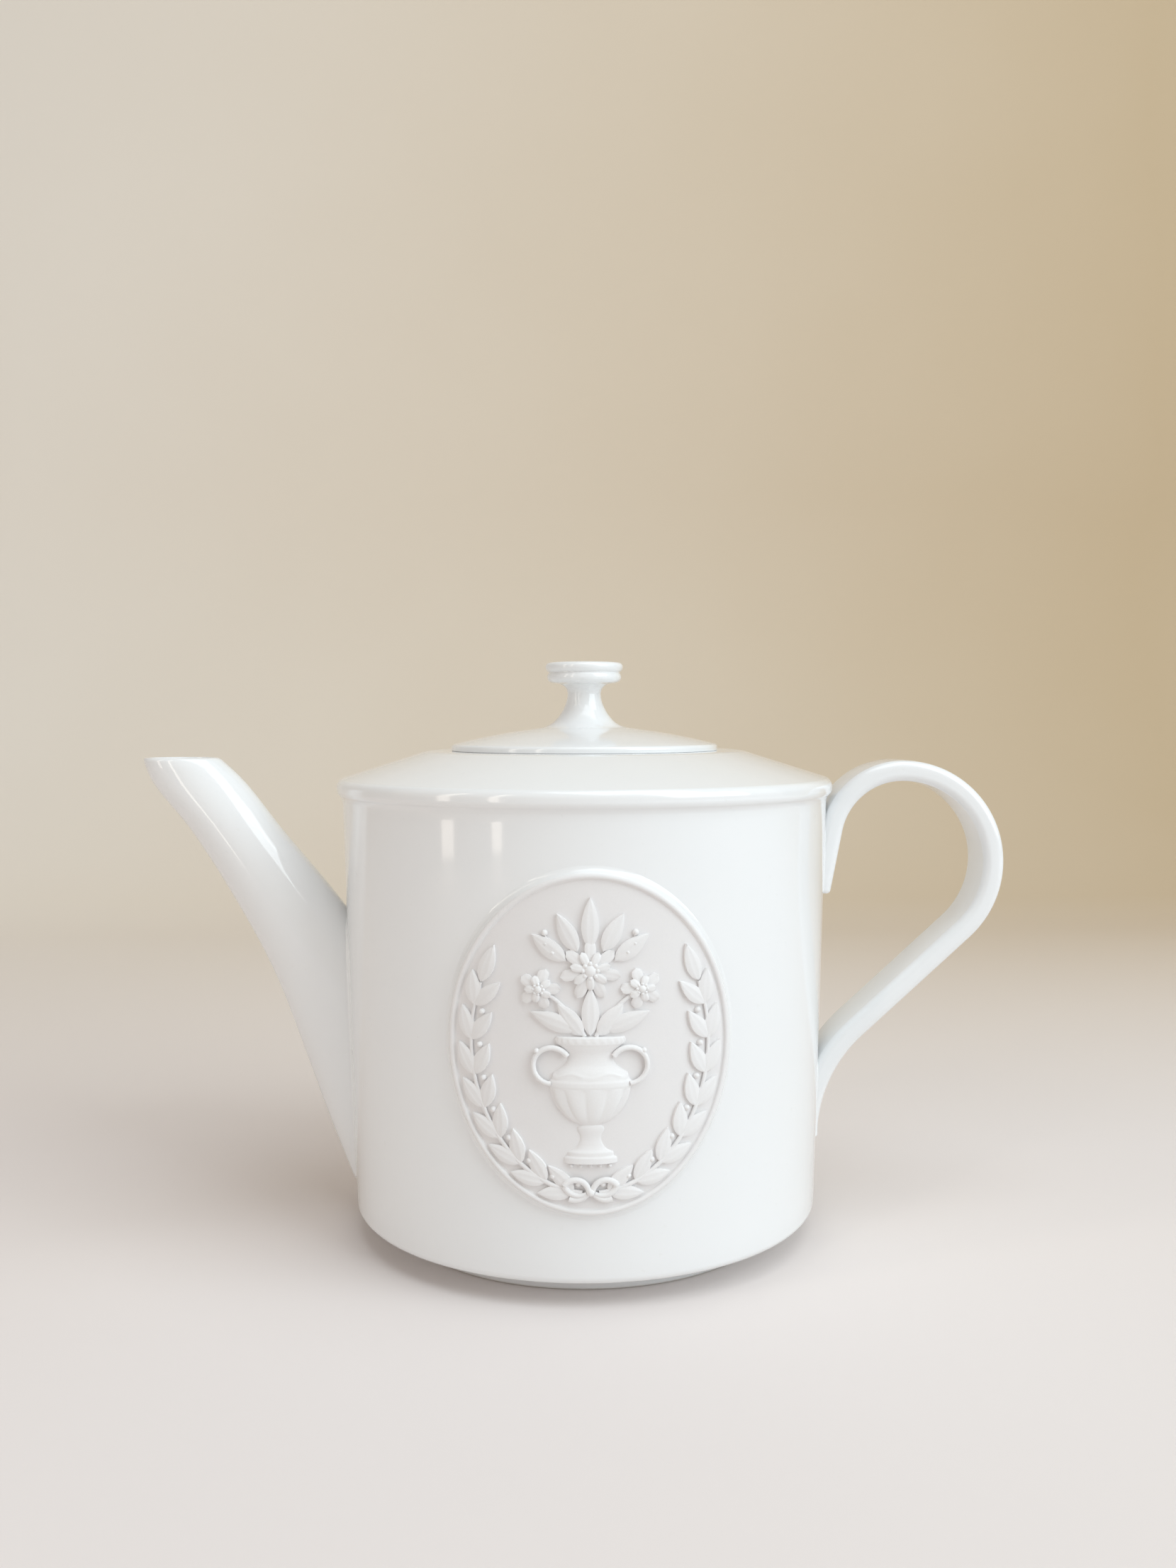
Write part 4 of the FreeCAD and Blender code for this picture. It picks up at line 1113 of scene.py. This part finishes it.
def laurel_branch(name, node, side):
    """A laurel branch along the bead: a stem, pairs of leaves with a berry in each axil, and an end leaf."""
    bm = bmesh.new()
    start = math.radians(-86.0)
    end = math.radians(24.0)

    def at(angle):
        return (LAUREL_ACROSS * math.cos(angle), LAUREL_UP * math.sin(angle))

    def course(angle):
        return math.atan2(LAUREL_UP * math.cos(angle), -LAUREL_ACROSS * math.sin(angle))

    stem = [at(start + (end - start) * step / 40.0) for step in range(41)]
    twig(bm, stem, 0.55, 0.34, 0.38)
    for pair in range(LAUREL_PAIRS):
        angle = start + (end - start) * (pair + 0.3) / LAUREL_PAIRS
        for aside, tip in ((0.62, 0.12), (-0.24, -0.12)):
            heading = course(angle) + aside
            leaf(bm, *at(angle), heading, LEAF_LENGTH * 0.88, LEAF_WIDTH, 0.34, 0.55, tip, 0.28)
        berry_across, berry_up = at(angle - 0.03)
        inward = course(angle - 0.03) + math.pi / 2.0
        berry_across += 1.8 * math.cos(inward)
        berry_up += 1.8 * math.sin(inward)
        knop(bm, berry_across, berry_up, 0.66, 0.8, -0.2)
    leaf(bm, *at(end), course(end), LEAF_LENGTH, LEAF_WIDTH, 0.34, 0.55, 0.0, 0.28)
    if side < 0.0:
        bmesh.ops.scale(bm, vec=(-1.0, 1.0, 1.0), verts=bm.verts)
    sprig(bm, name, (node,))


def ribbon_bow():
    """The bow that ties the two branches, with a loop and a tail on each side of its knot."""
    bm = bmesh.new()
    low = -LAUREL_UP
    for side in (1.0, -1.0):
        turn = (side * 5.6, low + 1.7)
        over = three_point_arc((side * 0.4, low + 0.5), (side * 3.0, low + 3.0), turn, 12)
        under = three_point_arc(turn, (side * 4.4, low + 0.1), (side * 0.4, low + 0.3), 12)
        twig(bm, over, 0.62, 0.7, 0.85, 0.75)
        twig(bm, under[:-1], 0.7, 0.5, 0.7, 0.75)
        tail = three_point_arc((side * 0.5, low), (side * 2.3, low - 1.3), (side * 4.6, low - 1.2), 12)
        twig(bm, tail, 0.55, 0.72, 0.62, 0.7)
    knop(bm, 0.0, low + 0.35, 0.95, 1.0, -0.7)
    sprig(bm, "ribbon_bow_relief")


urn()
bouquet()
laurel_branch("laurel_right_relief", "branch_right", 1.0)
laurel_branch("laurel_left_relief", "branch_left", -1.0)
ribbon_bow()


# Light, floor and camera

def stage_material():
    """Pale floor that turns to warm beige up the backdrop, which runs darker and browner towards +X."""
    material, tree, shader, place = new_material("pale_floor")
    cloud = place.grain(3.0, 3.0)
    climb = ((place.along("Y") - 0.05) / 0.5 + place.along("Z") / 0.2).held()
    floor = cloud.between((0.80, 0.745, 0.722, 1.0), (0.83, 0.775, 0.755, 1.0))
    across = ((place.along("X") + 0.45) / 0.9 + (cloud - 0.5) * 0.2).held()
    drop = across.between((0.88, 0.81, 0.72, 1.0), (0.59, 0.465, 0.31, 1.0))
    shader.inputs["Roughness"].default_value = 0.9
    shader.inputs["Specular IOR Level"].default_value = 0.1
    feed_into(tree, shader, Base_Color=climb.between(floor, drop))
    return material


# Floor in metres: half its depth, its width in depths, where its backdrop rises, how high and with what sweep
FLOOR_HALF = 1.6
FLOOR_WIDTH = 3.5
BACKDROP_AT = 0.75
BACKDROP_HEIGHT = 1.8
BACKDROP_SWEEP = 0.30


def studio_floor():
    bm = bmesh.new()
    bmesh.ops.create_grid(bm, x_segments=1, y_segments=1, size=FLOOR_HALF)
    bmesh.ops.scale(bm, vec=(FLOOR_WIDTH, 1.0, 1.0), verts=bm.verts)
    back = [edge for edge in bm.edges if all(point.co.y > 0.0 for point in edge.verts)]
    foot = [point for edge in back for point in edge.verts]
    bmesh.ops.translate(bm, vec=(0.0, BACKDROP_AT - FLOOR_HALF, 0.0), verts=foot)
    grown = bmesh.ops.extrude_edge_only(bm, edges=back)
    bmesh.ops.translate(bm, vec=(0.0, 0.0, BACKDROP_HEIGHT), verts=new_points(grown["geom"]))
    softened(bm, back, BACKDROP_SWEEP, 24, "EDGES")
    floor = scene_object(bm, "studio_floor")
    floor.data.materials.append(stage_material())


studio_floor()


def soft_lamp(name, place, target, width, height, power, colour):
    """A lit pane at a place, turned to its target; the camera doesn't see it."""
    lamp = bpy.data.lights.new(name, "AREA")
    lamp.shape = "RECTANGLE"
    lamp.size = width
    lamp.size_y = height
    lamp.energy = power
    lamp.color = colour
    stand = bpy.data.objects.new(name, lamp)
    bpy.context.scene.collection.objects.link(stand)
    stand.location = place
    stand.rotation_mode = "QUATERNION"
    stand.rotation_quaternion = (Vector(target) - Vector(place)).to_track_quat("-Z", "Y")
    stand.visible_camera = False


MIDDLE = (0.0, 0.0, 0.06)
PANE_MIDDLE = (0.0, 0.0, 0.36)
PANE_WARM = (1.0, 0.92, 0.82)
soft_lamp("window_right", (1.05, -0.7, 0.7), MIDDLE, 1.0, 1.1, 11.0, (0.84, 0.95, 1.0))
soft_lamp("pane_left", (-0.575, -0.30, 0.36), PANE_MIDDLE, 0.07, 0.7, 0.46, PANE_WARM)
soft_lamp("pane_left_near", (-0.41, -0.51, 0.36), PANE_MIDDLE, 0.05, 0.7, 0.37, PANE_WARM)
soft_lamp("sky_over", (0.3, -0.42, 1.4), MIDDLE, 1.1, 1.1, 7.9, (0.87, 0.95, 1.0))

# The room lights the pot with one tone, and is seen and mirrored in a warmer one
ROOM_LIGHT = (0.385, 0.372, 0.362, 1.0)
ROOM_SEEN = (0.62, 0.565, 0.49, 1.0)
world = bpy.data.worlds.new("room")
world.use_nodes = True
room = world.node_tree.nodes["Background"]
rays = Feed(world.node_tree)
seen = (
    rays.node("ShaderNodeLightPath", output="Is Camera Ray")
    + rays.node("ShaderNodeLightPath", output="Is Glossy Ray")
    + rays.node("ShaderNodeLightPath", output="Is Transmission Ray")
).held()
air = seen.between(ROOM_LIGHT, ROOM_SEEN)
world.node_tree.links.new(air.socket, room.inputs["Color"])
bpy.context.scene.world = world
bpy.context.scene.view_settings.view_transform = "Standard"

# Camera: the photograph's height and focal length in its pixels, and where the camera stands in metres
PHOTO_HEIGHT = 2212.0
PHOTO_FOCAL = 1910.0
CAMERA_PLACE = (0.0009, -0.345, 0.1294)
CAMERA_SWING = math.radians(-1.2)
CAMERA_FALL = math.radians(3.0)
CAMERA_ROLL = math.radians(-0.15)

eye = bpy.data.cameras.new("eye")
eye.sensor_fit = "AUTO"
eye.sensor_width = 36.0
eye.lens = PHOTO_FOCAL * eye.sensor_width / PHOTO_HEIGHT
camera = bpy.data.objects.new("eye", eye)
bpy.context.scene.collection.objects.link(camera)
swing = Matrix.Rotation(CAMERA_SWING, 4, "Z")
tilt = Matrix.Rotation(math.pi / 2 - CAMERA_FALL, 4, "X")
roll = Matrix.Rotation(CAMERA_ROLL, 4, "Z")
camera.matrix_world = swing @ Matrix.Translation(CAMERA_PLACE) @ tilt @ roll
bpy.context.scene.camera = camera
